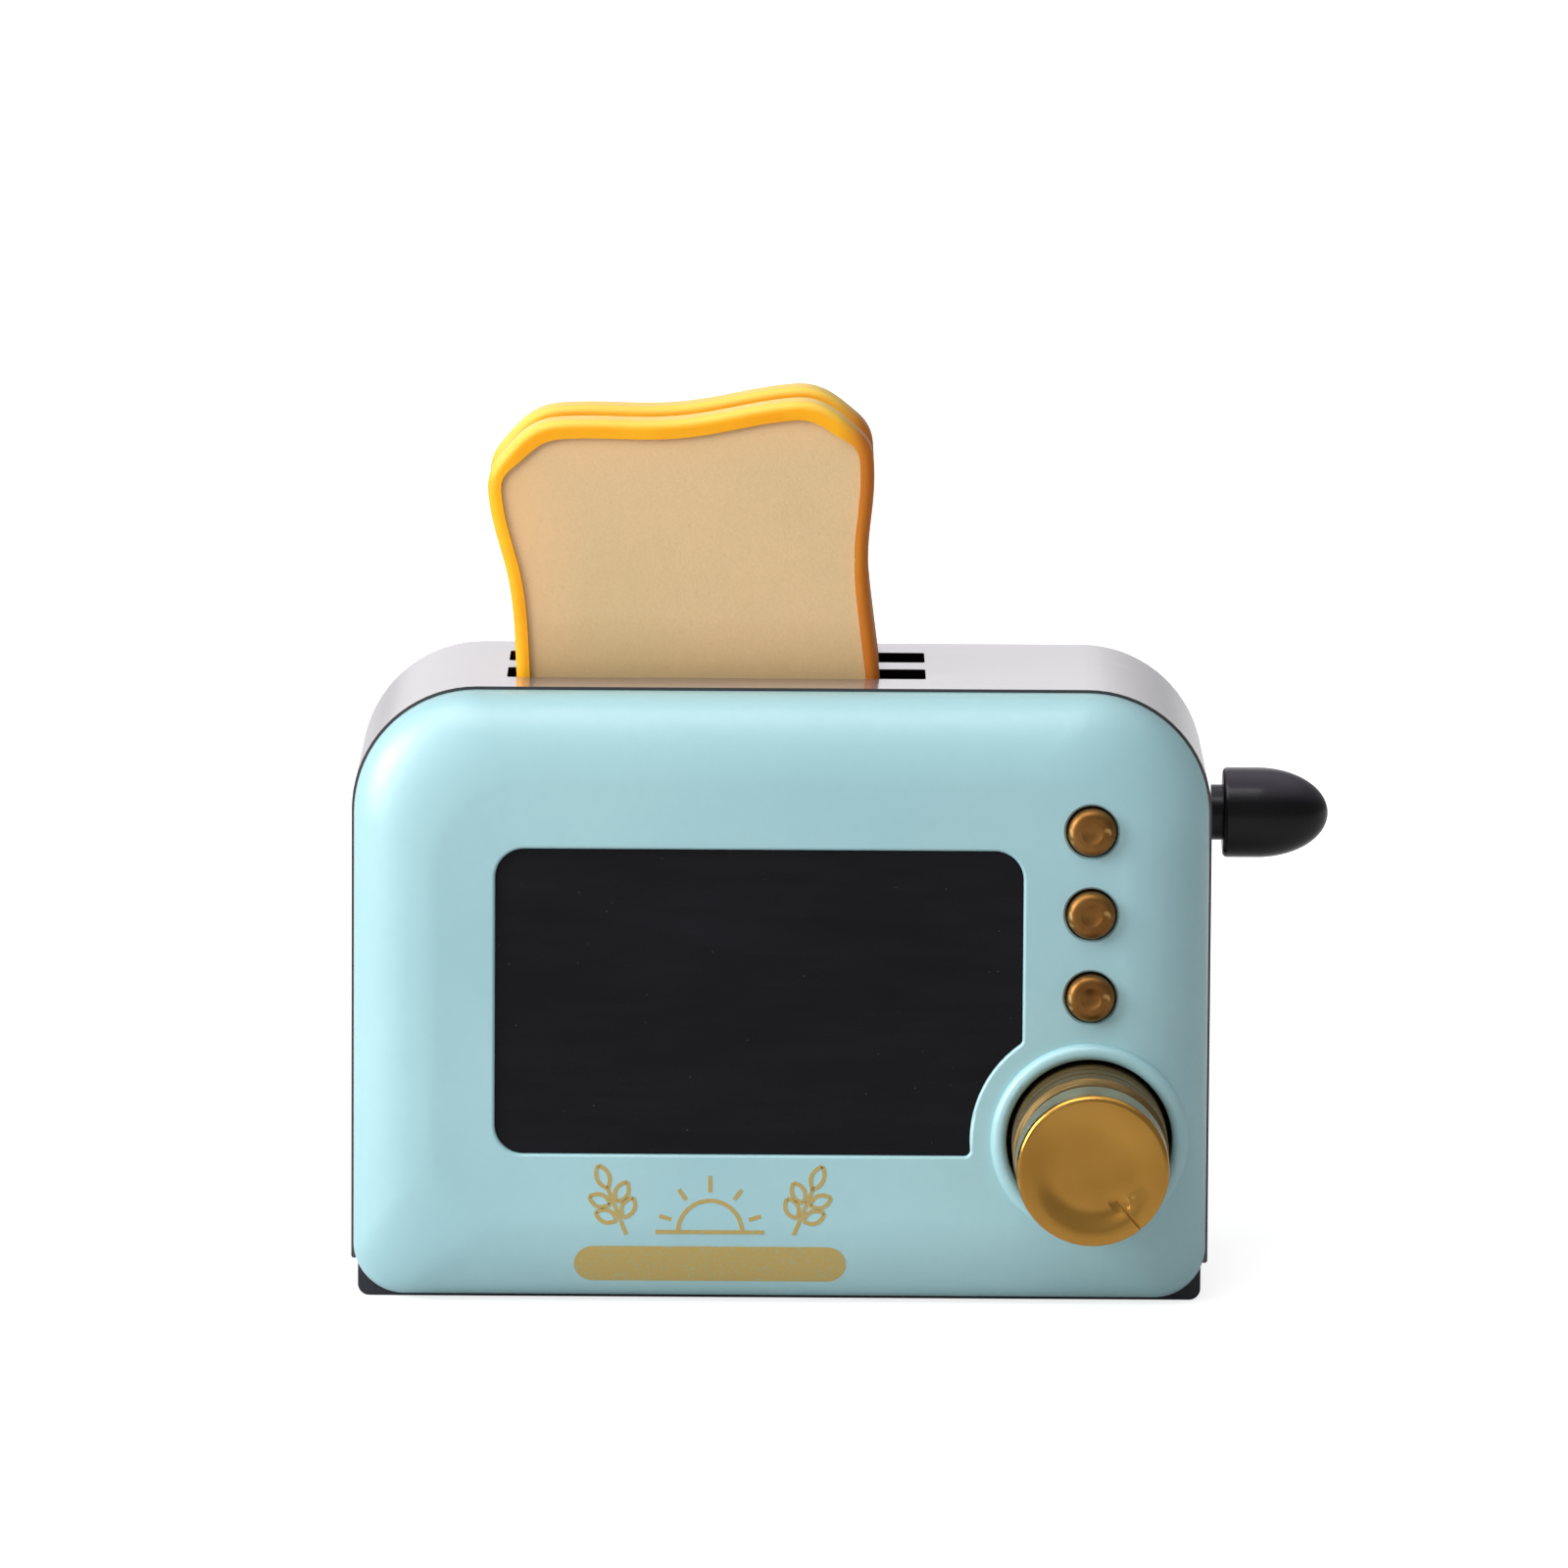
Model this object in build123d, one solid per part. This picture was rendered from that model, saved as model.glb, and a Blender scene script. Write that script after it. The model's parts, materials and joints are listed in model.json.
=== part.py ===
from build123d import *
import math
import os

# Pop-up toy toaster with two slices of pretend bread.
# Millimetres. X to the right as seen from the front, Y away from the viewer, Z up.
# The origin is the centre of the base's flat underside.
# Built with the slices popped up and leaning. Pressing the lever lowers the carriage,
# and the racks turn upright on their pin on the way down.

# How far a cut runs past the faces it opens, and how deep a joined feature starts in its neighbour
past = 1.0
sunk = 0.3

# Casing
casing_width = 88.6
casing_height = 63.7
band_depth = 34.0
band_wall = 1.6
top_corner_radius = 12.9
seam_gap = 0.2
shell_step = 0.3
shell_lift = 0.6
shell_wall = 1.8
shell_rim = 1.5
shell_crown = 5.5
shell_crown_width = 9.0
shell_bottom_radius = 5.3
shell_corner_softening = 0.35
lip_length = 2.0
lip_wall = 1.0
lip_foot_radius = 0.5
band_foot_radius = 0.3
seat_gap = 0.1

# Base
base_height = 3.9
base_floor = 2.0
base_rim_wall = 1.8
base_inset = 0.7
base_corner_radius = 1.2
base_top_radius = 0.2
foot_flange_width = 5.5
base_screw_inset = 5.8
base_screw_pad = 3.0

# Screws
screw_radius = 1.0
screw_head_radius = 1.7
screw_head_height = 1.2
screw_tip = 0.5
screw_fit = 0.05
head_fit = 0.15
head_sink = 0.1
recess_span = 2.2
recess_width = 0.5
recess_depth = 0.4
small_screw_radius = 0.7
small_screw_grip = 3.0
small_pilot_depth = 3.5
small_head_radius = 1.3
small_head_height = 0.8
small_slot_span = 1.8
small_slot_width = 0.4

# Casing screw bosses
boss_radius = 2.0
boss_sleeve_radius = 2.3
boss_split_y = 6.0
boss_side_inset = 5.3
boss_bottom_z = 8.3
boss_top_drop = 6.2
boss_top_side_inset = 8.3
casing_screw_grip = 8.0
boss_floor = 2.0

# Window
window_left_margin = 14.65
window_to_dial = 6.95
window_bottom = 16.15
window_top_drop = 15.5
window_radius = 3.0
window_notch_radius = 12.3
window_notch_edge_radius = 0.6
window_recess = 0.5
window_edge_round = 0.35
pane_fit = 0.08
pane_flange = 1.2
pane_flange_thickness = 1.0
backing_thickness = 0.6

# Dial
dial_to_side = 12.2
dial_z = 17.85
dial_hole_radius = 8.53
dial_ring_radius = 10.15
dial_ring_rise = 0.9
dial_ring_round = 0.85
dial_mouth_round = 0.65
dial_protrusion = 17.8
knob_skirt_radius = 8.0
knob_neck_radius = 7.45
knob_cap_radius = 7.8
knob_skirt_length = 8.8
knob_neck_length = 3.4
knob_sink = 1.5
knob_round = 0.6
knob_rim_width = 0.3
knob_dish = 0.5
knob_dish_slope_width = 3.0
knob_shoulder = 0.4
knob_line_depth = 0.15
knob_line_width = 0.4
knob_lines = [2.8, 5.4]
pointer_angle = -50.0
pointer_width = 0.4
pointer_depth = 0.5
pointer_start = 3.9
pointer_dent_radius = 1.0
pointer_dent_depth = 0.18
dial_shaft_radius = 2.0
dial_shaft_fit = 0.05
shaft_collar_radius = 3.0
shaft_collar_thickness = 1.0
shaft_end_gap = 0.2
knob_socket_depth = 12.0
bush_radius = 3.2
bush_flange_radius = 4.4
bush_flange_thickness = 1.0
bush_tail = 4.0
detent_radius = 5.2
detent_thickness = 2.0
detent_count = 12
detent_notch_radius = 0.6
detent_wheel_gap = 0.2
detent_leaf_thickness = 0.3
detent_leaf_gap = 0.15
detent_leaf_edge_gap = 0.2
detent_leaf_top = 4.0
detent_leaf_foot = 4.0
detent_bump_radius = 0.45
detent_bump_sink = 0.05
detent_post_gap = 1.5
detent_post_half_width = 1.3
detent_post_height = 3.0
detent_post_floor = 0.4
wheel_screw_pilot = 4.0
wheel_screw_grip = 3.5
wheel_screw_overlap = 0.6
wheel_slot_span = 2.4

# Buttons, spread evenly between the dial's ring and the crown of the shell
button_count = 3
button_row_foot = 0.5
button_row_head = 0.1
button_radius = 2.45
button_hole_radius = 2.7
button_hole_bevel = 0.2
button_proud = 1.2
button_travel = 1.0
button_flange_radius = 3.1
button_flange_gap = 0.3
button_flange_thickness = 0.8
button_stem_radius = 1.0
button_stem_round = 0.9
button_stem_fit = 0.08
button_stem_spare = 1.0
button_round = 0.9
button_dimple_radius = 1.1
button_dimple_depth = 0.25
button_spring_wire = 0.3
button_spring_side_gap = 0.4
button_spring_turns = 5
spring_end_gap = 0.05

# Control plate, behind the front shell
plate_thickness = 1.6
plate_left_margin = 13.3
plate_side_gap = 2.2
plate_foot_gap = 0.3
plate_top_rise = 4.6
plate_shoulder_rise = 11.6
plate_neck_margin = 4.3
plate_corner_radius = 1.0
plate_neck_overlap = 3.0
plate_boss_gap = 0.3
post_radius = 1.6
post_side = 6.3
post_top_rise = 1.4
post_middle_rise = 2.15
post_low_side = 10.4
post_low_drop = 9.4

# Bread slices. Their width is what the slots leave
bread_waist_inset = 1.2
bread_foot_inset = 1.2
bread_height = 37.0
bread_lobe_height = 30.2
bread_waist_height = 21.8
bread_foot_height = 6.0
bread_peak_inset = 7.8
bread_top_dip = 0.9
bread_shoulder_inset = 2.0
bread_shoulder_share = 0.57
bread_corner_radius = 2.0
bread_thickness = 5.0
bread_edge_round = 0.95
bread_lean = 5.0
crust_side = 1.4
crust_top = 1.9
crumb_inset = 0.35
crumb_fit = 0.03

# Slots in the top, between a bay for the left rod and a bay for the right rod and the lever
slot_left_bay = 14.2
slot_to_dial = 17.0
slot_width = 7.4
slot_pitch = 12.4
slot_left_clearance = 1.3
slot_right_clearance = 2.0
slot_end_radius = 0.4
liner_wall = 1.0
liner_depth = 7.4
liner_flange_margin = 2.0
liner_flange_thickness = 1.1
liner_top_gap = 0.05
liner_overlap = 0.2
liner_rib_half_width = 1.2

# Racks, which turn on one pin across the carriage
rack_pivot_drop = 18.48
rack_rise = 9.2
rack_width = 6.2
rack_floor = 1.4
rack_gap = 0.3
rack_lip = 1.6
rack_lip_thickness = 1.0
rack_end_gap = 0.5
rack_beam_gap = 0.4
rack_lug_radius = 1.7
rack_pin_radius = 0.8
rack_pin_fit = 0.06
rack_pin_side_gap = 0.1
rack_pin_head_radius = 1.3
rack_pin_head_height = 0.4
rack_hub_half_length = 2.2
rack_hub_side_gap = 0.3
rack_hub_wall = 0.9

# Carriage and guide rods
rod_radius = 1.0
rod_fit = 0.06
rod_end_gap = 0.05
rod_boss_radius = 2.3
rod_boss_gap = 0.55
rod_right_offset = 1.3
rod_boss_height = 3.0
rod_blind_depth = 2.5
rod_socket_top = 8.0
carriage_boss_height = 7.0
carriage_boss_rise = 1.0
carriage_beam_height = 4.0
carriage_beam_width = 2.2
stop_gap = 0.5
spring_wire = 0.5
spring_gap = 0.35
spring_turns = 12

# Lever
lever_low_z = 23.48
lever_arm_height = 3.5
lever_arm_thickness = 1.2
lever_arm_round = 0.6
lever_arm_start = 1.3
lever_neck_gap = 0.4
lever_neck_length = 1.2
lever_neck_radius = 2.9
lever_knob_length = 11.0
lever_knob_radius = 4.7
lever_knob_straight = 3.6
lever_knob_edge_round = 0.5
lever_socket_depth = 4.5
lever_socket_gap = 0.2
lever_slot_width = 2.6
lever_slot_clearance = 0.9
fork_cheek = 0.95
fork_length = 5.5
fork_root = 1.2
rivet_radius = 0.6
rivet_head_radius = 1.0
rivet_head_height = 0.4
rivet_inset = 1.5
rivet_pitch = 2.6

# Latch, worked by the lowest button
latch_pivot_below_button = 3.8
latch_thickness = 2.0
latch_hub_radius = 1.2
latch_arm_reach = 2.0
latch_arm_width = 1.4
latch_arm_over = 1.6
latch_pin_radius = 0.6
latch_pin_fit = 0.05
latch_ear_thickness = 1.0
latch_ear_radius = 1.4
latch_ear_gap = 0.3
latch_web_gap = 4.0
latch_nose_gap = 0.35
latch_nose_length = 3.0
latch_nose_ramp = 1.3
latch_nose_edge = 0.5
latch_nose_thickness = 1.5
latch_stem_gap = 0.1
catch_reach = 1.1
catch_thickness = 0.35
catch_width = 3.0
catch_height = 3.0
catch_foot = 1.2
catch_top_offset = 0.2
catch_fold = 0.6
catch_face_gap = 0.05
latch_catch_gap = 0.3
latch_sweep_gap = 0.3

# Places worked out from the sizes above
seam_y = band_depth / 2
band_half_width = casing_width / 2
inner_half_width = band_half_width - band_wall
inner_top = casing_height - band_wall
shell_half_width = band_half_width - shell_step
shell_top = casing_height - shell_step
shell_depth = shell_rim + shell_crown
rim_y = seam_y + seam_gap
face_y = -(rim_y - seam_gap + shell_depth)
shell_inner_y = face_y + shell_wall
dial_x = shell_half_width - dial_to_side
plate_front_y = -seam_y
plate_rear_y = plate_front_y + plate_thickness
plate_bottom_z = base_height + band_wall + plate_foot_gap

button_row_low = dial_z + dial_ring_radius + button_row_foot
button_row_high = shell_top - shell_crown_width - button_row_head
button_pitch = (button_row_high - button_row_low) / button_count
button_heights = [button_row_high - (i + 0.5) * button_pitch for i in range(button_count)]
button_names = ["top", "middle", "bottom"]
flange_front_y = shell_inner_y + button_flange_gap
flange_rear_y = flange_front_y + button_flange_thickness

lean = math.radians(bread_lean)
slot_centres = {"front": -slot_pitch / 2, "rear": slot_pitch / 2}
slot_left = -inner_half_width + slot_left_bay
slot_right = dial_x - slot_to_dial
bread_left = slot_left + slot_left_clearance
bread_right = slot_right - slot_right_clearance
bread_half_width = (bread_right - bread_left) / 2
bread_foot_half_width = bread_half_width - bread_foot_inset
rack_pivot_x = (bread_left + bread_right) / 2
rack_pivot_z = casing_height - rack_pivot_drop
rack_half_length = bread_foot_half_width + rack_end_gap + rack_lip_thickness
rack_underside = rack_rise - rack_gap - rack_floor
rack_low_z = rack_pivot_z + rack_underside * math.cos(lean) - rack_half_length * math.sin(lean)

beam_top = rack_low_z - rack_beam_gap
beam_bottom = beam_top - carriage_beam_height
lever_z = (beam_top + beam_bottom) / 2
carriage_boss_top = beam_top + carriage_boss_rise
carriage_boss_bottom = carriage_boss_top - carriage_boss_height
left_rod_x = slot_left - liner_wall - rod_boss_radius - rod_boss_gap
right_rod_x = slot_right + liner_wall + rod_boss_radius + rod_boss_gap + rod_right_offset
rod_xs = [left_rod_x, right_rod_x]
rod_boss_bottom = carriage_boss_top + stop_gap
knob_base_x = band_half_width + lever_neck_gap + lever_neck_length

arm_face_y = -lever_arm_thickness / 2
catch_top_z = lever_low_z + catch_top_offset
latch_z = button_heights[-1] - latch_pivot_below_button
latch_pivot_y = arm_face_y - catch_reach - latch_sweep_gap - latch_ear_radius
latch_face_y = latch_pivot_y - latch_arm_reach
detent_front_y = plate_rear_y + bush_tail + detent_wheel_gap
detent_rear_y = detent_front_y + detent_thickness
detent_leaf_x = dial_x - detent_radius - detent_leaf_gap - detent_leaf_thickness / 2
knob_front_y = face_y - dial_protrusion


def block(x0, x1, y0, y1, z0, z1):
    """Box between opposite corners."""
    centre = Pos((x0 + x1) / 2, (y0 + y1) / 2, (z0 + z1) / 2)
    return centre * Box(abs(x1 - x0), abs(y1 - y0), abs(z1 - z0))


def rod_along_x(radius, y, z, x0, x1):
    return Pos((x0 + x1) / 2, y, z) * Rot(0, 90, 0) * Cylinder(radius, abs(x1 - x0))


def rod_along_y(radius, x, z, y0, y1):
    return Pos(x, (y0 + y1) / 2, z) * Rot(90, 0, 0) * Cylinder(radius, abs(y1 - y0))


def rod_along_z(radius, x, y, z0, z1):
    return Pos(x, y, (z0 + z1) / 2) * Cylinder(radius, abs(z1 - z0))


def front_plane(y):
    """Upright plane at y, with local x to the right and local y up, facing the viewer."""
    return Plane(origin=(0, y, 0), x_dir=(1, 0, 0), z_dir=(0, -1, 0))


def side_plane(x):
    """Upright plane at x, with local x away from the viewer and local y up."""
    return Plane(origin=(x, 0, 0), x_dir=(0, 1, 0), z_dir=(1, 0, 0))


def slab(outline, y0, y1):
    """Closed outline in x and z, made solid from y0 back to y1."""
    return extrude(front_plane(y1) * make_face(outline), amount=y1 - y0)


def rounded_outline(left, right, bottom, top, bottom_radius, top_radius):
    """Rectangle with one radius for both bottom corners and one for both top corners."""
    b = bottom_radius
    t = top_radius
    return [
        Line((left + b, bottom), (right - b, bottom)),
        CenterArc((right - b, bottom + b), b, -90, 90),
        Line((right, bottom + b), (right, top - t)),
        CenterArc((right - t, top - t), t, 0, 90),
        Line((right - t, top), (left + t, top)),
        CenterArc((left + t, top - t), t, 90, 90),
        Line((left, top - t), (left, bottom + b)),
        CenterArc((left + b, bottom + b), b, 180, 90),
    ]


def casing_outline(inset, bottom_radius, top_radius):
    """Outline of the shells, drawn in by inset on every side."""
    half = shell_half_width - inset
    return rounded_outline(
        -half, half, shell_lift + inset, shell_top - inset, bottom_radius, top_radius
    )


def shell_corner_radii(offset):
    return shell_bottom_radius - offset, top_corner_radius - shell_step - offset


def pillow(offset, crown, crown_width):
    """Rim and crowned front of a shell, with every surface drawn in by offset."""
    steps = 7
    bottom_radius, top_radius = shell_corner_radii(offset)
    crown_root_y = -seam_y - shell_rim
    rim = slab(casing_outline(offset, bottom_radius, top_radius), crown_root_y, -rim_y)
    sections = []
    for i in range(steps + 1):
        angle = math.radians(90 * i / steps)
        inset = crown_width * (1 - math.cos(angle))
        outline = casing_outline(
            offset + inset,
            bottom_radius + inset * shell_corner_softening / 2,
            top_radius - inset * shell_corner_softening,
        )
        sections.append(front_plane(crown_root_y - crown * math.sin(angle)) * make_face(outline))
    return rim + loft(sections)


def shell_blank():
    """Hollow front shell before its openings, with the lip that enters the band."""
    outer = pillow(0, shell_crown, shell_crown_width)
    inner = pillow(shell_wall, shell_crown - shell_wall, shell_crown_width - shell_wall)
    mouth = slab(casing_outline(shell_wall, *shell_corner_radii(shell_wall)), -rim_y, 0)
    shell = outer - inner - mouth
    lip_outer = inner_half_width - seat_gap
    lip_top = inner_top - seat_gap
    lip_radius = top_corner_radius - band_wall - seat_gap
    lip_bottom = base_height + band_wall + seat_gap
    ring = slab(
        rounded_outline(-lip_outer, lip_outer, lip_bottom, lip_top, lip_foot_radius, lip_radius),
        -rim_y - lip_length,
        -seam_y + lip_length,
    )
    core = slab(
        rounded_outline(
            -lip_outer + lip_wall,
            lip_outer - lip_wall,
            0,
            lip_top - lip_wall,
            lip_foot_radius,
            lip_radius - lip_wall,
        ),
        -seam_y - 2 * shell_depth,
        0,
    )
    return shell + (ring - core)


def boss_places():
    """Centres of the casing screws in x and z."""
    bottom_x = inner_half_width - boss_side_inset + boss_radius
    top_x = inner_half_width - boss_top_side_inset + boss_radius
    top_z = inner_top - boss_top_drop + boss_radius
    return [
        (-bottom_x, boss_bottom_z),
        (bottom_x, boss_bottom_z),
        (-top_x, top_z),
        (top_x, top_z),
    ]


def post_places():
    """Centres of the posts that carry the control plate."""
    return [
        (dial_x + post_side, button_heights[0] + post_top_rise),
        (dial_x + post_side, button_heights[-1] + post_middle_rise),
        (dial_x - post_low_side, dial_z - post_low_drop),
    ]


def window_bounds():
    left = -shell_half_width + window_left_margin
    right = dial_x - window_to_dial
    return left, right, window_bottom, shell_top - window_top_drop


def window_outline(grow):
    """Window shape: rounded rectangle with a round notch beside the dial."""
    left, right, bottom, top = window_bounds()
    radius = window_radius + grow
    plain = make_face(
        rounded_outline(left - grow, right + grow, bottom - grow, top + grow, radius, radius)
    )
    notch_radius = window_notch_radius - grow
    shape = plain - Pos(dial_x, dial_z) * Circle(notch_radius)
    corners = shape.vertices().filter_by(
        lambda v: abs(math.hypot(v.X - dial_x, v.Y - dial_z) - notch_radius) < 0.01
    )
    return fillet(corners, window_notch_edge_radius)


def window_slab(grow, y0, y1):
    return extrude(front_plane(y1) * window_outline(grow), amount=y1 - y0)


def front_shell():
    """Crowned cover with the window, the dial's ring, the button holes, bosses and posts."""
    shell = shell_blank()
    ring_front = face_y - dial_ring_rise
    collar = rod_along_y(dial_ring_radius, dial_x, dial_z, ring_front, plate_front_y - seat_gap)
    front_edge = collar.edges().filter_by(GeomType.CIRCLE).sort_by(Axis.Y)[0]
    shell += fillet(front_edge, dial_ring_round)
    shell -= rod_along_y(dial_hole_radius, dial_x, dial_z, ring_front - past, 0)
    shell = fillet(circles_at(shell, dial_hole_radius, ring_front), dial_mouth_round)
    shell -= window_slab(0, face_y - past, shell_inner_y + past)
    bevel = button_hole_bevel
    for z in button_heights:
        shell -= rod_along_y(button_hole_radius, dial_x, z, face_y - past, shell_inner_y + past)
        mouth = Cone(button_hole_radius, button_hole_radius + 2 * bevel, 2 * bevel)
        shell -= Pos(dial_x, face_y, z) * Rot(90, 0, 0) * mouth
    shell = fillet(window_edges(shell), window_edge_round)
    for x, z in boss_places():
        shell += rod_along_y(boss_radius, x, z, shell_inner_y - sunk, boss_split_y) & boss_room()
        pilot_end = boss_split_y - casing_screw_grip - screw_tip
        shell -= rod_along_y(screw_radius + screw_fit, x, z, pilot_end, boss_split_y)
    for x, z in post_places():
        shell += rod_along_y(post_radius, x, z, shell_inner_y - sunk, plate_front_y)
        pilot_end = plate_front_y - small_pilot_depth
        shell -= rod_along_y(small_screw_radius + screw_fit, x, z, pilot_end, plate_front_y)
    return shell


def circles_at(solid, radius, y):
    """Round edges of one radius that lie in the plane at y."""
    return solid.edges().filter_by(GeomType.CIRCLE).filter_by(
        lambda e: abs(e.radius - radius) < 0.01 and abs(e.center().Y - y) < 0.01
    )


def window_edges(shell):
    """Edges of the window in the shell's front face."""
    left, right, bottom, top = window_bounds()
    margin = 0.1

    def on_window(edge):
        box = edge.bounding_box()
        flat = abs(box.min.Y - face_y) < 0.01 and abs(box.max.Y - face_y) < 0.01
        across = box.min.X > left - margin and box.max.X < right + margin
        upright = box.min.Z > bottom - margin and box.max.Z < top + margin
        return flat and across and upright

    return shell.edges().filter_by(on_window)


def boss_room():
    """Space inside the shells and band that a boss may fill."""
    offset = shell_wall / 2
    room = pillow(offset, shell_crown - offset, shell_crown_width - offset)
    return room + slab(casing_outline(offset, *shell_corner_radii(offset)), -rim_y, rim_y)


def rear_shell():
    """Plain crowned cover with sleeves for the casing screws."""
    shell = mirror(shell_blank(), about=Plane.XZ)
    room = mirror(boss_room(), about=Plane.XZ)
    head_room = screw_head_radius + head_fit
    for x, z in boss_places():
        shell += rod_along_y(boss_sleeve_radius, x, z, boss_split_y, -shell_inner_y + sunk) & room
        shell -= rod_along_y(screw_radius + screw_fit, x, z, boss_split_y, -face_y + past)
        shell -= rod_along_y(head_room, x, z, boss_split_y + boss_floor, -face_y + past)
    return shell


def slot_slab(y, grow, z0, z1):
    """Bread slot shape with round corners, grown on every side, between two heights."""
    length = slot_right - slot_left + 2 * grow
    shape = RectangleRounded(length, slot_width + 2 * grow, slot_end_radius + grow)
    return extrude(Pos((slot_left + slot_right) / 2, y, z0) * shape, amount=z1 - z0)


def body_band():
    """Metal band over the sides and top, with its feet bent in over the base."""
    outer = slab(
        rounded_outline(
            -band_half_width,
            band_half_width,
            base_height,
            casing_height,
            band_foot_radius,
            top_corner_radius,
        ),
        -seam_y,
        seam_y,
    )
    inner = slab(
        rounded_outline(
            -inner_half_width,
            inner_half_width,
            base_height + band_wall,
            inner_top,
            band_foot_radius,
            top_corner_radius - band_wall,
        ),
        -seam_y - past,
        seam_y + past,
    )
    foot_end = inner_half_width - foot_flange_width
    foot_top = base_height + band_wall
    gap = block(-foot_end, foot_end, -seam_y - past, seam_y + past, 0, foot_top + past)
    band = outer - inner - gap
    for y in slot_centres.values():
        band -= slot_slab(y, 0, inner_top - past, casing_height + past)
    arm_reach = lever_arm_height / 2 + lever_slot_clearance
    band -= block(
        inner_half_width - past,
        band_half_width + past,
        -lever_slot_width / 2,
        lever_slot_width / 2,
        lever_low_z - arm_reach,
        lever_z + arm_reach,
    )
    for x, y in base_screw_places():
        band -= rod_along_z(screw_radius + screw_fit, x, y, base_height - past, foot_top + past)
    return band


def base_screw_places():
    x = inner_half_width - base_screw_inset + screw_head_radius
    y = seam_y - base_screw_inset
    return [(-x, -y), (x, -y), (-x, y), (x, y)]


def base_plate():
    """Flat-bottomed tray that closes the casing and holds the feet of the guide rods."""
    half = band_half_width - base_inset
    tray = slab(
        rounded_outline(-half, half, 0, base_height, base_corner_radius, base_top_radius),
        -seam_y,
        seam_y,
    )
    tray -= block(
        -half + base_rim_wall,
        half - base_rim_wall,
        -seam_y + base_rim_wall,
        seam_y - base_rim_wall,
        base_floor,
        base_height + past,
    )
    for x, y in base_screw_places():
        tray += rod_along_z(base_screw_pad, x, y, base_floor - sunk, base_height)
        tray -= rod_along_z(screw_radius + screw_fit, x, y, -past, base_height + past)
        head_top = head_sink + screw_head_height
        tray -= rod_along_z(screw_head_radius + head_fit, x, y, -past, head_top)
    for x in rod_xs:
        tray += rod_along_z(rod_boss_radius, x, 0, base_floor - sunk, rod_socket_top)
        tray -= rod_along_z(rod_radius + screw_fit, x, 0, base_floor, rod_socket_top + past)
    return tray


def cross_recess_z(x, y, z):
    """Cross-shaped recess in a screw head that faces down at z."""
    depth = 2 * recess_depth
    return Pos(x, y, z) * (
        Box(recess_span, recess_width, depth) + Box(recess_width, recess_span, depth)
    )


def cross_recess_y(x, y, z):
    """Cross-shaped recess in a screw head that faces back at y."""
    depth = 2 * recess_depth
    return Pos(x, y, z) * (
        Box(recess_span, depth, recess_width) + Box(recess_width, depth, recess_span)
    )


def base_screws():
    """Pan-head screws from below into the band's feet."""
    screws = []
    head_top = head_sink + screw_head_height
    for x, y in base_screw_places():
        shank = rod_along_z(screw_radius, x, y, head_top, base_height + band_wall + screw_tip)
        head = rod_along_z(screw_head_radius, x, y, head_sink, head_top)
        screws.append(shank + head - cross_recess_z(x, y, head_sink))
    return Compound(children=screws)


def casing_screws():
    """Pan-head screws from the rear shell's sleeves into the front shell's bosses."""
    screws = []
    seat = boss_split_y + boss_floor
    head_end = seat + screw_head_height
    for x, z in boss_places():
        shank = rod_along_y(screw_radius, x, z, boss_split_y - casing_screw_grip, seat)
        head = rod_along_y(screw_head_radius, x, z, seat, head_end)
        screws.append(shank + head - cross_recess_y(x, head_end, z))
    return Compound(children=screws)


def window_pane():
    """Smoked pane: a plug in the window on a flange behind the shell."""
    plug = window_slab(-pane_fit, face_y + window_recess, shell_inner_y)
    flange = window_slab(pane_flange, shell_inner_y, shell_inner_y + pane_flange_thickness)
    return plug + flange


def window_backing():
    front = shell_inner_y + pane_flange_thickness
    return window_slab(pane_flange, front, front + backing_thickness)


def control_plate():
    """Plate behind the front shell that carries the dial, button stems and latch."""
    left = dial_x - plate_left_margin
    neck_left = dial_x - plate_neck_margin
    right = inner_half_width - plate_side_gap
    shoulder = dial_z + plate_shoulder_rise
    top = button_heights[0] + plate_top_rise
    r = plate_corner_radius
    plate = slab(
        rounded_outline(left, right, plate_bottom_z, shoulder, r, r), plate_front_y, plate_rear_y
    )
    plate += slab(
        rounded_outline(neck_left, right, shoulder - plate_neck_overlap, top, r, r),
        plate_front_y,
        plate_rear_y,
    )
    holes = [(boss_radius + plate_boss_gap, x, z) for x, z in boss_places()]
    holes += [(small_screw_radius + screw_fit, x, z) for x, z in post_places()]
    holes += [(button_stem_radius + button_stem_fit, dial_x, z) for z in button_heights]
    holes.append((bush_radius + screw_fit, dial_x, dial_z))
    for radius, x, z in holes:
        plate -= rod_along_y(radius, x, z, plate_front_y - past, plate_rear_y + past)
    return plate + latch_bracket() + detent_post()


def latch_bracket():
    """Two ears joined by a web, with the bore for the latch's pin."""
    outer = latch_thickness / 2 + latch_ear_gap + latch_ear_thickness
    low = latch_z - latch_ear_radius
    high = latch_z + latch_ear_radius
    web_end = latch_face_y - latch_web_gap
    bracket = block(dial_x - outer, dial_x + outer, plate_rear_y - sunk, web_end, low, high)
    for side in (-1, 1):
        near = dial_x + side * (latch_thickness / 2 + latch_ear_gap)
        far = dial_x + side * outer
        bracket += block(near, far, web_end - sunk, latch_pivot_y, low, high)
        bracket += rod_along_x(latch_ear_radius, latch_pivot_y, latch_z, near, far)
    bore_reach = outer + past
    return bracket - rod_along_x(
        latch_pin_radius, latch_pivot_y, latch_z, dial_x - bore_reach, dial_x + bore_reach
    )


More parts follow.
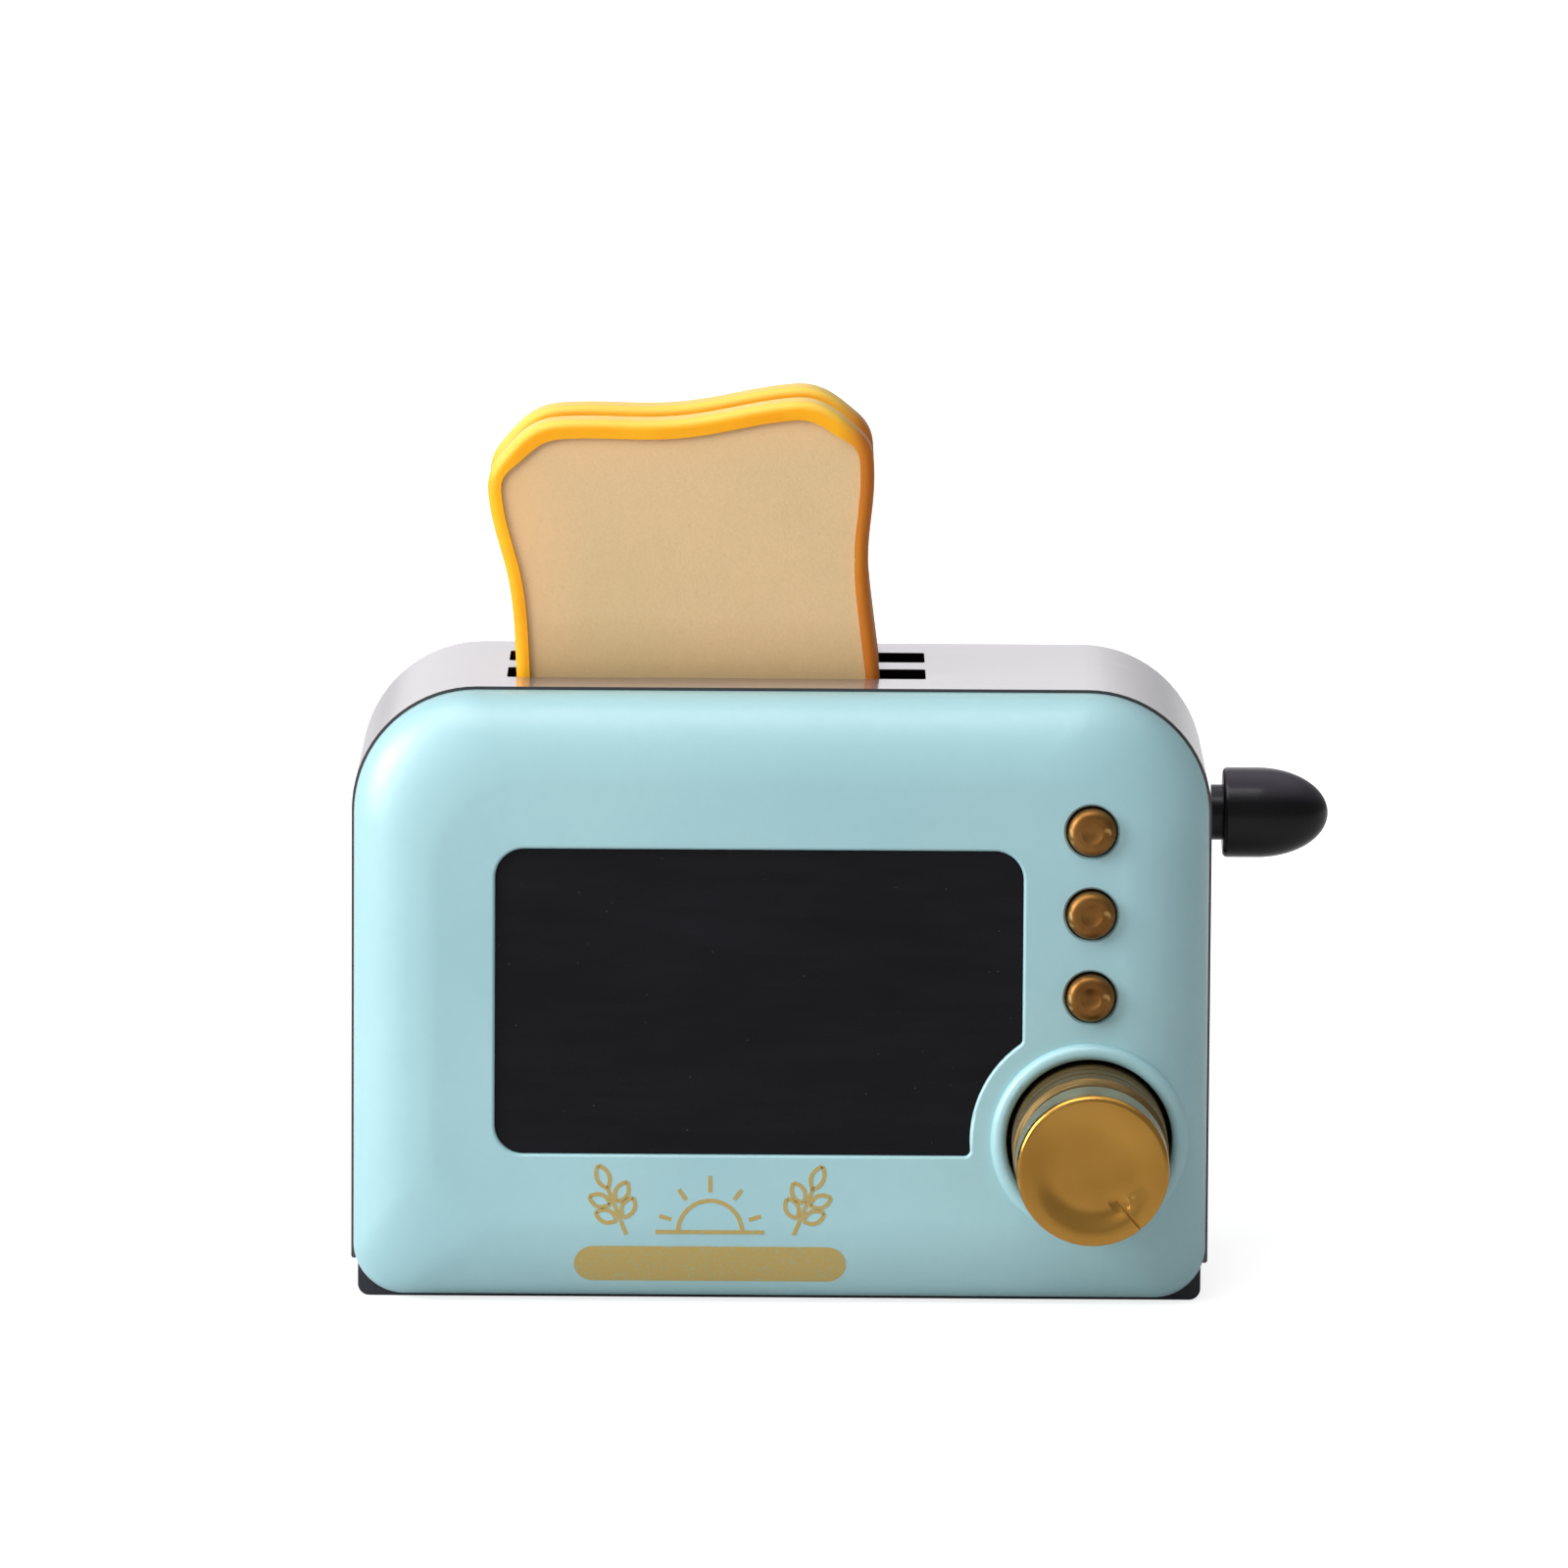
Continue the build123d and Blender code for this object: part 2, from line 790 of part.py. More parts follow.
def detent_post():
    """Slotted post on the control plate that grips the foot of the detent leaf."""
    x = detent_leaf_x
    top = dial_z - detent_radius - detent_post_gap
    low = top - detent_post_height
    half = detent_leaf_thickness / 2
    w = detent_post_half_width
    post = block(x - w, x + w, plate_rear_y - sunk, detent_rear_y, low, top)
    groove_low = low + detent_post_floor
    return post - block(
        x - half, x + half, detent_front_y, detent_rear_y + past, groove_low, top + past
    )


def control_screws():
    """Small screws that hold the control plate on its posts."""
    screws = []
    head_end = plate_rear_y + small_head_height
    for x, z in post_places():
        shank = rod_along_y(small_screw_radius, x, z, plate_front_y - small_screw_grip, plate_rear_y)
        head = rod_along_y(small_head_radius, x, z, plate_rear_y, head_end)
        slot = Pos(x, head_end, z) * Box(small_slot_span, 2 * recess_depth, small_slot_width)
        screws.append(shank + head - slot)
    return Compound(children=screws)


def dial_bush():
    """Flanged bush pressed into the control plate."""
    flange_front = plate_front_y - bush_flange_thickness
    bush = rod_along_y(bush_radius, dial_x, dial_z, plate_front_y, plate_rear_y + bush_tail)
    bush += rod_along_y(bush_flange_radius, dial_x, dial_z, flange_front, plate_front_y)
    bore = dial_shaft_radius + dial_shaft_fit
    return bush - rod_along_y(bore, dial_x, dial_z, flange_front - past, 0)


def dial_knob():
    """Turned knob: skirt, waist and cap with a dished face and a pointer groove."""
    back = face_y + knob_sink
    skirt_front = face_y - knob_skirt_length
    neck_front = skirt_front - knob_neck_length
    front = knob_front_y
    s = knob_skirt_radius
    n = knob_neck_radius
    c = knob_cap_radius
    rim_inner = c - knob_round - knob_rim_width
    outline = [
        Line((0, back), (s, back)),
        Line((s, back), (s, skirt_front + knob_shoulder)),
        Line((s, skirt_front + knob_shoulder), (n, skirt_front)),
        Line((n, skirt_front), (n, neck_front + knob_shoulder)),
        Line((n, neck_front + knob_shoulder), (c, neck_front)),
        Line((c, neck_front), (c, front + knob_round)),
        CenterArc((c - knob_round, front + knob_round), knob_round, -90, 90),
        Line((c - knob_round, front), (rim_inner, front)),
        Spline(
            [(rim_inner, front), (rim_inner - knob_dish_slope_width, front + knob_dish)],
            tangents=[(-1, 0), (-1, 0)],
        ),
        Line((rim_inner - knob_dish_slope_width, front + knob_dish), (0, front + knob_dish)),
        Line((0, front + knob_dish), (0, back)),
    ]
    knob = revolve(make_face(outline), axis=Axis.Y)
    for distance in knob_lines:
        y0 = face_y - distance - knob_line_width
        y1 = face_y - distance
        ring = rod_along_y(s + past, 0, 0, y0, y1)
        knob -= ring - rod_along_y(s - knob_line_depth, 0, 0, y0 - past, y1 + past)
    floor_y = front + knob_dish
    groove_length = c - pointer_start + past
    groove = Pos(pointer_start + groove_length / 2, floor_y, 0) * Box(
        groove_length, 2 * pointer_depth, pointer_width
    )
    ball = (pointer_dent_radius**2 + pointer_dent_depth**2) / (2 * pointer_dent_depth)
    dent = Pos(pointer_start, floor_y + pointer_dent_depth - ball, 0) * Sphere(ball)
    knob -= Rot(0, -pointer_angle, 0) * (groove + dent)
    knob -= rod_along_y(dial_shaft_radius + screw_fit, 0, 0, back - knob_socket_depth, back + past)
    return Pos(dial_x, 0, dial_z) * knob


def dial_shaft():
    """Steel shaft from the knob through the bush to the detent wheel."""
    front = face_y + knob_sink - knob_socket_depth + shaft_end_gap
    shaft = rod_along_y(dial_shaft_radius, dial_x, dial_z, front, detent_rear_y)
    collar_y = plate_front_y - bush_flange_thickness - seat_gap
    shaft += rod_along_y(
        shaft_collar_radius, dial_x, dial_z, collar_y - shaft_collar_thickness, collar_y
    )
    pilot = small_screw_radius + screw_fit
    pilot_end = detent_rear_y - wheel_screw_pilot
    return shaft - rod_along_y(pilot, dial_x, dial_z, pilot_end, detent_rear_y + past)


def detent_wheel():
    """Notched wheel on the shaft's end, which gives the dial its clicks."""
    wheel = rod_along_y(detent_radius, dial_x, dial_z, detent_front_y, detent_rear_y)
    wheel -= rod_along_y(dial_shaft_radius + screw_fit, dial_x, dial_z, -seam_y, 0)
    for i in range(detent_count):
        angle = math.radians(360 * i / detent_count)
        x = dial_x + detent_radius * math.cos(angle)
        z = dial_z + detent_radius * math.sin(angle)
        wheel -= rod_along_y(detent_notch_radius, x, z, -seam_y, 0)
    return wheel


def detent_leaf():
    """Leaf spring that rests on the wheel, with a bump that drops into a notch."""
    half = detent_leaf_thickness / 2
    low = dial_z - detent_radius - detent_leaf_foot
    high = dial_z + detent_leaf_top
    y0 = detent_front_y + detent_leaf_edge_gap
    y1 = detent_rear_y - detent_leaf_edge_gap
    leaf = block(detent_leaf_x - half, detent_leaf_x + half, y0, y1, low, high)
    bump_x = detent_leaf_x + half + detent_bump_sink
    return leaf + rod_along_y(detent_bump_radius, bump_x, dial_z, y0, y1)


def dial_screw():
    """Screw and washer head that keep the detent wheel on the shaft."""
    y = detent_rear_y
    head_end = y + small_head_height
    head_radius = dial_shaft_radius + wheel_screw_overlap
    shank = rod_along_y(small_screw_radius, dial_x, dial_z, y - wheel_screw_grip, y)
    head = rod_along_y(head_radius, dial_x, dial_z, y, head_end)
    slot = Pos(dial_x, head_end, dial_z) * Box(wheel_slot_span, 2 * recess_depth, small_slot_width)
    return shank + head - slot


def button(index):
    """Domed cap with a dimple, a retaining flange and a stem through the control plate."""
    z = button_heights[index]
    front = face_y - button_proud
    cap = rod_along_y(button_radius, dial_x, z, front, flange_front_y)
    cap = fillet(circles_at(cap, button_radius, front), button_round)
    ball = (button_dimple_radius**2 + button_dimple_depth**2) / (2 * button_dimple_depth)
    cap -= Pos(dial_x, front + button_dimple_depth - ball, z) * Sphere(ball)
    flange = rod_along_y(button_flange_radius, dial_x, z, flange_front_y, flange_rear_y)
    stem = rod_along_y(button_stem_radius, dial_x, z, flange_rear_y, stem_end_y(index))
    stem = fillet(circles_at(stem, button_stem_radius, stem_end_y(index)), button_stem_round)
    return cap + flange + stem


def stem_end_y(index):
    """Back end of a button's stem. The lowest one reaches the latch."""
    if index == button_count - 1:
        return latch_face_y - latch_stem_gap
    return plate_rear_y + button_travel + button_stem_spare


def coil(wire, mean_radius, height, turns):
    """Open coil about Z from z 0 to height, wire centre kept half a wire inside the ends."""
    rise = height - wire
    path = Helix(pitch=rise / turns, height=rise, radius=mean_radius)
    section = Plane(origin=path @ 0, z_dir=path % 0) * Circle(wire / 2)
    return Pos(0, 0, wire / 2) * sweep(section, path=path)


def button_spring(index):
    """Coil round the stem, between the button's flange and the control plate."""
    rear = plate_front_y - spring_end_gap
    length = rear - spring_end_gap - flange_rear_y
    mean = button_stem_radius + button_spring_side_gap + button_spring_wire / 2
    spring = coil(button_spring_wire, mean, length, button_spring_turns)
    return Pos(dial_x, rear, button_heights[index]) * Rot(90, 0, 0) * spring


def latch_hook():
    """Rocker: the button pushes its upper arm and its nose leaves the catch."""
    hub = latch_hub_radius
    nose_tip = arm_face_y - latch_nose_gap
    nose_low = catch_top_z + latch_catch_gap
    nose_high = nose_low + latch_nose_thickness
    arm_top = button_heights[-1] + latch_arm_over
    outline = Polyline(
        (latch_face_y, arm_top),
        (latch_face_y + latch_arm_width, arm_top),
        (latch_pivot_y + hub, latch_z + hub),
        (latch_pivot_y + hub, latch_z - hub),
        (nose_tip - latch_nose_ramp, nose_high),
        (nose_tip, nose_low + latch_nose_edge),
        (nose_tip, nose_low),
        (nose_tip - latch_nose_length, nose_low),
        (latch_pivot_y - hub, latch_z - hub),
        (latch_face_y, latch_z + hub),
        close=True,
    )
    half = latch_thickness / 2
    hook = extrude(side_plane(dial_x - half) * make_face(outline), amount=latch_thickness)
    bore = latch_pin_radius + latch_pin_fit
    reach = half + past
    return hook - rod_along_x(bore, latch_pivot_y, latch_z, dial_x - reach, dial_x + reach)


def latch_pin():
    reach = latch_thickness / 2 + latch_ear_gap + latch_ear_thickness
    return rod_along_x(latch_pin_radius, latch_pivot_y, latch_z, dial_x - reach, dial_x + reach)


def slot_frame():
    """Moulded frame under the band's top: two bread sleeves and the rods' upper bosses."""
    top = inner_top - liner_top_gap
    low = inner_top - liner_depth
    left = slot_left - liner_wall
    right = slot_right + liner_wall
    side_y = slot_pitch / 2 + slot_width / 2
    flange_y = side_y + liner_flange_margin
    wall_y = side_y + liner_wall
    rib = liner_rib_half_width
    boss_top = rod_boss_bottom + rod_boss_height
    frame = block(
        left, right_rod_x + rod_boss_radius, -flange_y, flange_y, top - liner_flange_thickness, top
    )
    frame += block(left, slot_left + liner_overlap, -wall_y, wall_y, low, top)
    frame += block(slot_right - liner_overlap, right, -wall_y, wall_y, low, top)
    for y in slot_centres.values():
        frame += slot_slab(y, liner_wall, low, top)
    frame += rod_along_z(rod_boss_radius, left_rod_x, 0, rod_boss_bottom, boss_top)
    frame += block(left_rod_x, slot_left, -rib, rib, rod_boss_bottom, boss_top)
    frame += block(left, slot_left, -rib, rib, rod_boss_bottom, top)
    frame += rod_along_z(rod_boss_radius, right_rod_x, 0, rod_boss_bottom, top)
    frame += block(slot_right, right_rod_x, -rib, rib, low, top)
    for y in slot_centres.values():
        frame -= slot_slab(y, 0, rod_boss_bottom - past, top + past)
    blind_top = rod_boss_bottom + rod_blind_depth
    for x in rod_xs:
        frame -= rod_along_z(rod_radius + screw_fit, x, 0, rod_boss_bottom - past, blind_top)
    return frame


def guide_rod(x):
    top = rod_boss_bottom + rod_blind_depth - rod_end_gap
    return rod_along_z(rod_radius, x, 0, base_floor + rod_end_gap, top)


def carriage_plate():
    """Sliding beam on two rods, with a hub for the racks' pin and a fork for the lever."""
    half = carriage_beam_width / 2
    beam = block(left_rod_x, right_rod_x, -half, half, beam_bottom, beam_top)
    hub_y = slot_pitch / 2 - rack_width / 2 - rack_hub_side_gap
    hub_x = rack_hub_half_length
    hub_low = rack_pivot_z - rack_pin_radius - rack_hub_wall
    beam += block(rack_pivot_x - hub_x, rack_pivot_x + hub_x, -hub_y, hub_y, hub_low, beam_top)
    beam -= rod_along_y(
        rack_pin_radius + screw_fit, rack_pivot_x, rack_pivot_z, -hub_y - past, hub_y + past
    )
    fork_inner = lever_arm_thickness / 2 + screw_fit
    fork_end = right_rod_x + rod_boss_radius + fork_length
    arm_half = lever_arm_height / 2
    for side in (-1, 1):
        near = side * fork_inner
        far = side * (fork_inner + fork_cheek)
        beam += block(right_rod_x, fork_end, near, far, lever_z - arm_half, lever_z + arm_half)
    for x in rod_xs:
        beam += rod_along_z(rod_boss_radius, x, 0, carriage_boss_bottom, carriage_boss_top)
    beam -= block(
        right_rod_x + rod_radius + fork_root,
        fork_end + past,
        -fork_inner,
        fork_inner,
        carriage_boss_bottom - past,
        carriage_boss_top + past,
    )
    bore = rod_radius + rod_fit
    for x in rod_xs:
        beam -= rod_along_z(bore, x, 0, carriage_boss_bottom - past, carriage_boss_top + past)
    for x in rivet_xs():
        beam -= rivet_hole(x)
    return beam


def rivet_xs():
    first = right_rod_x + rod_boss_radius + rivet_inset
    return [first, first + rivet_pitch]


def rivet_hole(x):
    reach = lever_arm_thickness / 2 + screw_fit + fork_cheek + past
    return rod_along_y(rivet_radius + screw_fit, x, lever_z, -reach, reach)


def rack_pin():
    """Pin across the carriage's hub with a head outside each rack."""
    reach = slot_pitch / 2 + rack_width / 2 + rack_pin_side_gap
    end = reach + rack_pin_head_height
    pin = rod_along_y(rack_pin_radius, rack_pivot_x, rack_pivot_z, -end, end)
    for side in (-1, 1):
        pin += rod_along_y(rack_pin_head_radius, rack_pivot_x, rack_pivot_z, side * reach, side * end)
    return pin


def lean_about_pin(solid):
    """Moves a rack or slice, drawn upright about the pin, to its leaning place."""
    return Pos(rack_pivot_x, 0, rack_pivot_z) * Rot(0, -bread_lean, 0) * solid


def bread_rack(name):
    """Tray with a lip at each end and a lug that turns on the pin."""
    y = slot_centres[name]
    y0 = y - rack_width / 2
    y1 = y + rack_width / 2
    length = rack_half_length
    tray_top = rack_rise - rack_gap
    tray = block(-length, length, y0, y1, rack_underside, tray_top)
    for side in (-1, 1):
        inner = side * (length - rack_lip_thickness)
        tray += block(inner, side * length, y0, y1, rack_underside, rack_rise + rack_lip)
    tray += block(-rack_lug_radius, rack_lug_radius, y0, y1, 0, tray_top)
    tray += rod_along_y(rack_lug_radius, 0, 0, y0, y1)
    tray -= rod_along_y(rack_pin_radius + rack_pin_fit, 0, 0, y0 - past, y1 + past)
    return lean_about_pin(tray)


def carriage_spring(x):
    """Coil round a guide rod, between the base's socket and the carriage's boss."""
    length = carriage_boss_bottom - rod_socket_top - 2 * spring_end_gap
    mean = rod_radius + spring_gap + spring_wire / 2
    return Pos(x, 0, rod_socket_top + spring_end_gap) * coil(spring_wire, mean, length, spring_turns)


def lever_arm():
    """Steel strip from the carriage's fork through the side slot into the lever knob."""
    start = right_rod_x + rod_radius + lever_arm_start
    end = band_half_width + lever_neck_gap + lever_socket_depth - lever_socket_gap
    half = lever_arm_thickness / 2
    arm_half = lever_arm_height / 2
    arm = block(start, end, -half, half, lever_z - arm_half, lever_z + arm_half)
    corners = arm.edges().filter_by(Axis.Y).sort_by(Axis.X)[-2:]
    arm = fillet(corners, lever_arm_round)
    for x in rivet_xs():
        arm -= rivet_hole(x)
    return arm


def lever_rivets():
    """Rivets through the fork and the lever arm."""
    cheek = lever_arm_thickness / 2 + screw_fit + fork_cheek
    end = cheek + rivet_head_height
    rivets = []
    for x in rivet_xs():
        pin = rod_along_y(rivet_radius, x, lever_z, -cheek, cheek)
        for side in (-1, 1):
            pin += rod_along_y(rivet_head_radius, x, lever_z, side * cheek, side * end)
        rivets.append(pin)
    return Compound(children=rivets)


def lever_knob():
    """Bullet-shaped grip with a half-ellipse nose, a short neck and a socket for the arm."""
    nose = lever_knob_length - lever_knob_straight
    r = lever_knob_radius
    e = lever_knob_edge_round
    neck = lever_neck_length
    outline = [
        Line((-neck, 0), (-neck, lever_neck_radius)),
        Line((-neck, lever_neck_radius), (0, lever_neck_radius)),
        Line((0, lever_neck_radius), (0, r - e)),
        CenterArc((e, r - e), e, 90, 90),
        Line((e, r), (lever_knob_straight, r)),
        EllipticalCenterArc((lever_knob_straight, 0), nose, r, start_angle=0, arc_size=90),
        Line((lever_knob_length, 0), (-neck, 0)),
    ]
    grip = revolve(make_face(outline), axis=Axis.X)
    half = lever_arm_thickness / 2 + screw_fit
    tall = lever_arm_height / 2 + screw_fit
    grip -= block(-neck - past, lever_socket_depth - neck, -half, half, -tall, tall)
    return Pos(knob_base_x, 0, lever_z) * grip


def catch_leaf():
    """Springy catch on the lever arm. It gives way to the hook's nose, then snaps under it."""
    face = arm_face_y
    tip = face - catch_reach
    top = lever_z + catch_top_offset
    low = top - catch_height
    shelf = top - catch_thickness
    outline = Polyline(
        (face, low),
        (face, low + catch_foot),
        (tip + catch_thickness, shelf),
        (face - catch_face_gap, shelf),
        (face - catch_face_gap, top),
        (tip, top),
        (tip, top - catch_fold),
        (face - catch_thickness, low + catch_foot),
        (face - catch_thickness, low),
        close=True,
    )
    half = catch_width / 2
    return extrude(side_plane(dial_x - half) * make_face(outline), amount=catch_width)


def bread_outline(side, top, bottom):
    """Loaf outline about u 0 with its foot at v 0, drawn in by side, top and bottom."""
    lobe = bread_half_width - side
    waist = bread_half_width - bread_waist_inset - side
    foot = bread_foot_half_width - side
    peak = bread_height - top
    dip = peak - bread_top_dip
    peak_half = bread_half_width - bread_peak_inset
    corner = bread_corner_radius - side
    corner_cut = corner * (1 - math.sqrt(0.5))
    shoulder_v = bread_lobe_height + bread_shoulder_share * (peak - bread_lobe_height)
    edges = []
    for s in (1, -1):
        edges += [
            Line((0, bottom), (s * (foot - corner), bottom)),
            ThreePointArc(
                (s * (foot - corner), bottom),
                (s * (foot - corner_cut), bottom + corner_cut),
                (s * foot, bottom + corner),
            ),
            Line((s * foot, bottom + corner), (s * foot, bread_foot_height)),
            Spline(
                [
                    (s * foot, bread_foot_height),
                    (s * waist, bread_waist_height),
                    (s * lobe, bread_lobe_height),
                ],
                tangents=[(0, 1), (0, 1)],
            ),
            Spline(
                [
                    (s * lobe, bread_lobe_height),
                    (s * (lobe - bread_shoulder_inset), shoulder_v),
                    (s * peak_half, peak),
                ],
                tangents=[(0, 1), (-s, 0)],
            ),
            Spline([(s * peak_half, peak), (0, dip)], tangents=[(-s, 0), (-s, 0)]),
        ]
    return edges


def bread_slab(side, top, bottom, thickness):
    """Upright slice about its own middle plane."""
    return slab(bread_outline(side, top, bottom), -thickness / 2, thickness / 2)


def place_bread(solid, name):
    return lean_about_pin(Pos(0, slot_centres[name], rack_rise) * solid)


def bread_crust(name):
    """Ring of crust with rounded outer edges."""
    slice_solid = bread_slab(0, 0, 0, bread_thickness)
    faces = slice_solid.faces().filter_by(Axis.Y)
    slice_solid = fillet(faces.edges(), bread_edge_round)
    ring = slice_solid - bread_slab(crust_side, crust_top, crust_side, bread_thickness + past)
    return place_bread(ring, name)


def bread_crumb(name):
    """Inner slab, a little below the crust on both faces."""
    side = crust_side + crumb_fit
    thickness = bread_thickness - 2 * crumb_inset
    return place_bread(bread_slab(side, crust_top + crumb_fit, side, thickness), name)


def all_parts():
    parts = {
        "front_shell": front_shell(),
        "rear_shell": rear_shell(),
        "body_band": body_band(),
        "base_plate": base_plate(),
        "base_screws": base_screws(),
        "casing_screws": casing_screws(),
        "window_pane": window_pane(),
        "window_backing": window_backing(),
        "control_plate": control_plate(),
        "control_screws": control_screws(),
        "dial_bush": dial_bush(),
        "dial_knob": dial_knob(),
        "dial_shaft": dial_shaft(),
        "detent_wheel": detent_wheel(),
        "detent_leaf": detent_leaf(),
        "dial_screw": dial_screw(),
        "latch_hook": latch_hook(),
        "latch_pin": latch_pin(),
        "slot_frame": slot_frame(),
        "guide_rod_left": guide_rod(left_rod_x),
        "guide_rod_right": guide_rod(right_rod_x),
        "carriage_plate": carriage_plate(),
        "carriage_spring_left": carriage_spring(left_rod_x),
        "carriage_spring_right": carriage_spring(right_rod_x),
        "rack_pin": rack_pin(),
        "lever_arm": lever_arm(),
        "lever_rivets": lever_rivets(),
        "lever_knob": lever_knob(),
        "catch_leaf": catch_leaf(),
    }
    for index, name in enumerate(button_names):
        parts["button_" + name] = button(index)
        parts["button_spring_" + name] = button_spring(index)
    for name in slot_centres:
        parts["bread_rack_" + name] = bread_rack(name)
        parts["bread_crust_" + name] = bread_crust(name)
        parts["bread_crumb_" + name] = bread_crumb(name)
    return parts


os.makedirs("parts", exist_ok=True)
for node, solid in all_parts().items():
    export_step(solid, os.path.join("parts", node + ".step"))
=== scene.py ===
import json
import math

import bmesh
import bpy
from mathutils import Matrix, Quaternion, Vector
from mathutils.bvhtree import BVHTree


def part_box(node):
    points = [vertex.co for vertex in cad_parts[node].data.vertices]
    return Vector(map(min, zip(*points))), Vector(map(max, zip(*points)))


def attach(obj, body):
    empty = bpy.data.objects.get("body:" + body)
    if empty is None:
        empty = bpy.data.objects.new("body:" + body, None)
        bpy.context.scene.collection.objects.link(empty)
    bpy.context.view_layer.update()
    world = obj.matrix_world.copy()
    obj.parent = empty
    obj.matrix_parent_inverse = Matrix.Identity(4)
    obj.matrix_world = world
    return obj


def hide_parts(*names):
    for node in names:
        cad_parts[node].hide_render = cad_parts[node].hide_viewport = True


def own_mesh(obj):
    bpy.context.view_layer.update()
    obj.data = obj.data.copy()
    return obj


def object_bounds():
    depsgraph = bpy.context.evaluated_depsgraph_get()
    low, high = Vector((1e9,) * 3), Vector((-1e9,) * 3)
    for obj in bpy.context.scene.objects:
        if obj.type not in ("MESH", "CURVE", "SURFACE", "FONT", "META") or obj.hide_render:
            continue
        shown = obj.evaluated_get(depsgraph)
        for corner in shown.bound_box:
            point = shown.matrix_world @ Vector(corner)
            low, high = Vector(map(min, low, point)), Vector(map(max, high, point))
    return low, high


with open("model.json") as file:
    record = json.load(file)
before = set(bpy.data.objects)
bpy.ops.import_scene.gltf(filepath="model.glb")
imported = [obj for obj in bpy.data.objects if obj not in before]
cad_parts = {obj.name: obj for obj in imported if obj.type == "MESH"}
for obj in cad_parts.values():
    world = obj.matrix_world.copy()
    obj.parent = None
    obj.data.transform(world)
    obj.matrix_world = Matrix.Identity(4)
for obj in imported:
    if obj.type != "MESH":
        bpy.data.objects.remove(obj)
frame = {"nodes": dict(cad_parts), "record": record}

# Looks of a pop-up toy toaster: finishes, printed marks, studio and camera.
# Metres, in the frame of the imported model. X right, Y away from the viewer, Z up.
# The materials and the print are laid out in millimetres.

cad_low, cad_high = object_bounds()
nodes = frame["nodes"]
MM = 0.001
white = (1, 1, 1, 1)

# Camera
camera_elevation = math.radians(8.5)
camera_distance = 1.397
camera_lens = 307.8
camera_sensor = 36.0
camera_aim = Vector((0.0002, 0.0, 0.0512))
camera_roll = 0.006

# Lamps: place, size and power of each, and the point that all of them face
lamps = {
    "key": ((-0.9, -0.38, 0.45), (0.6, 0.6), 10.7),
    "top": ((-0.25, -0.35, 0.85), (0.7, 0.5), 3.5),
    "fill": ((-0.26, -0.77, 0.3), (0.24, 0.24), 0.16),
}
lamp_target = (0, 0, 0.04)

# Surroundings: strength of the light from either side, and the white wall behind and ceiling
# that only reflections see. Each span is of one component of the direction: Y for the wall,
# X for its dimmer right part, Z for the ceiling.
sky_left = 0.42
sky_right = 0.29
wall_span = (0.5, 0.95)
wall_right_span = (0.03, 0.2)
wall_right_share = 0.4
ceiling_span = (0.55, 0.9)

# Floor: half its width, its grey, its glow near the object and the distances between which it
# turns white, and the glow that reflections see from in front of the object to behind it
floor_half = 6.0
floor_grey = (0.62, 0.62, 0.62, 1)
floor_shade = 0.78
floor_reach = (0.15, 0.6)
floor_mirror_span = (-0.1, 0.2)
floor_mirror = (0.05, 0.35)

# Print on the front, in millimetres: where it stands, its line width and the ink's thickness
print_centre_x = -7.15
print_line = 0.42
ink_lift = 0.015
ink_thickness = 0.03
badge_height = 4.6
badge_half_length = 14.0
badge_half_height = 1.95
sun_height = 8.1
sun_radius = 3.3
sprig_height = 7.8
sprig_offset = 8.6
sprig_lean = 22

# Lengths of the part that the looks need, in millimetres
knob_cap_length = 5.6
carriage_travel = 25.0
button_travel = 1.0

# Usual spans of a noise texture
middle = (0.35, 0.65)
wide = (0.3, 0.7)

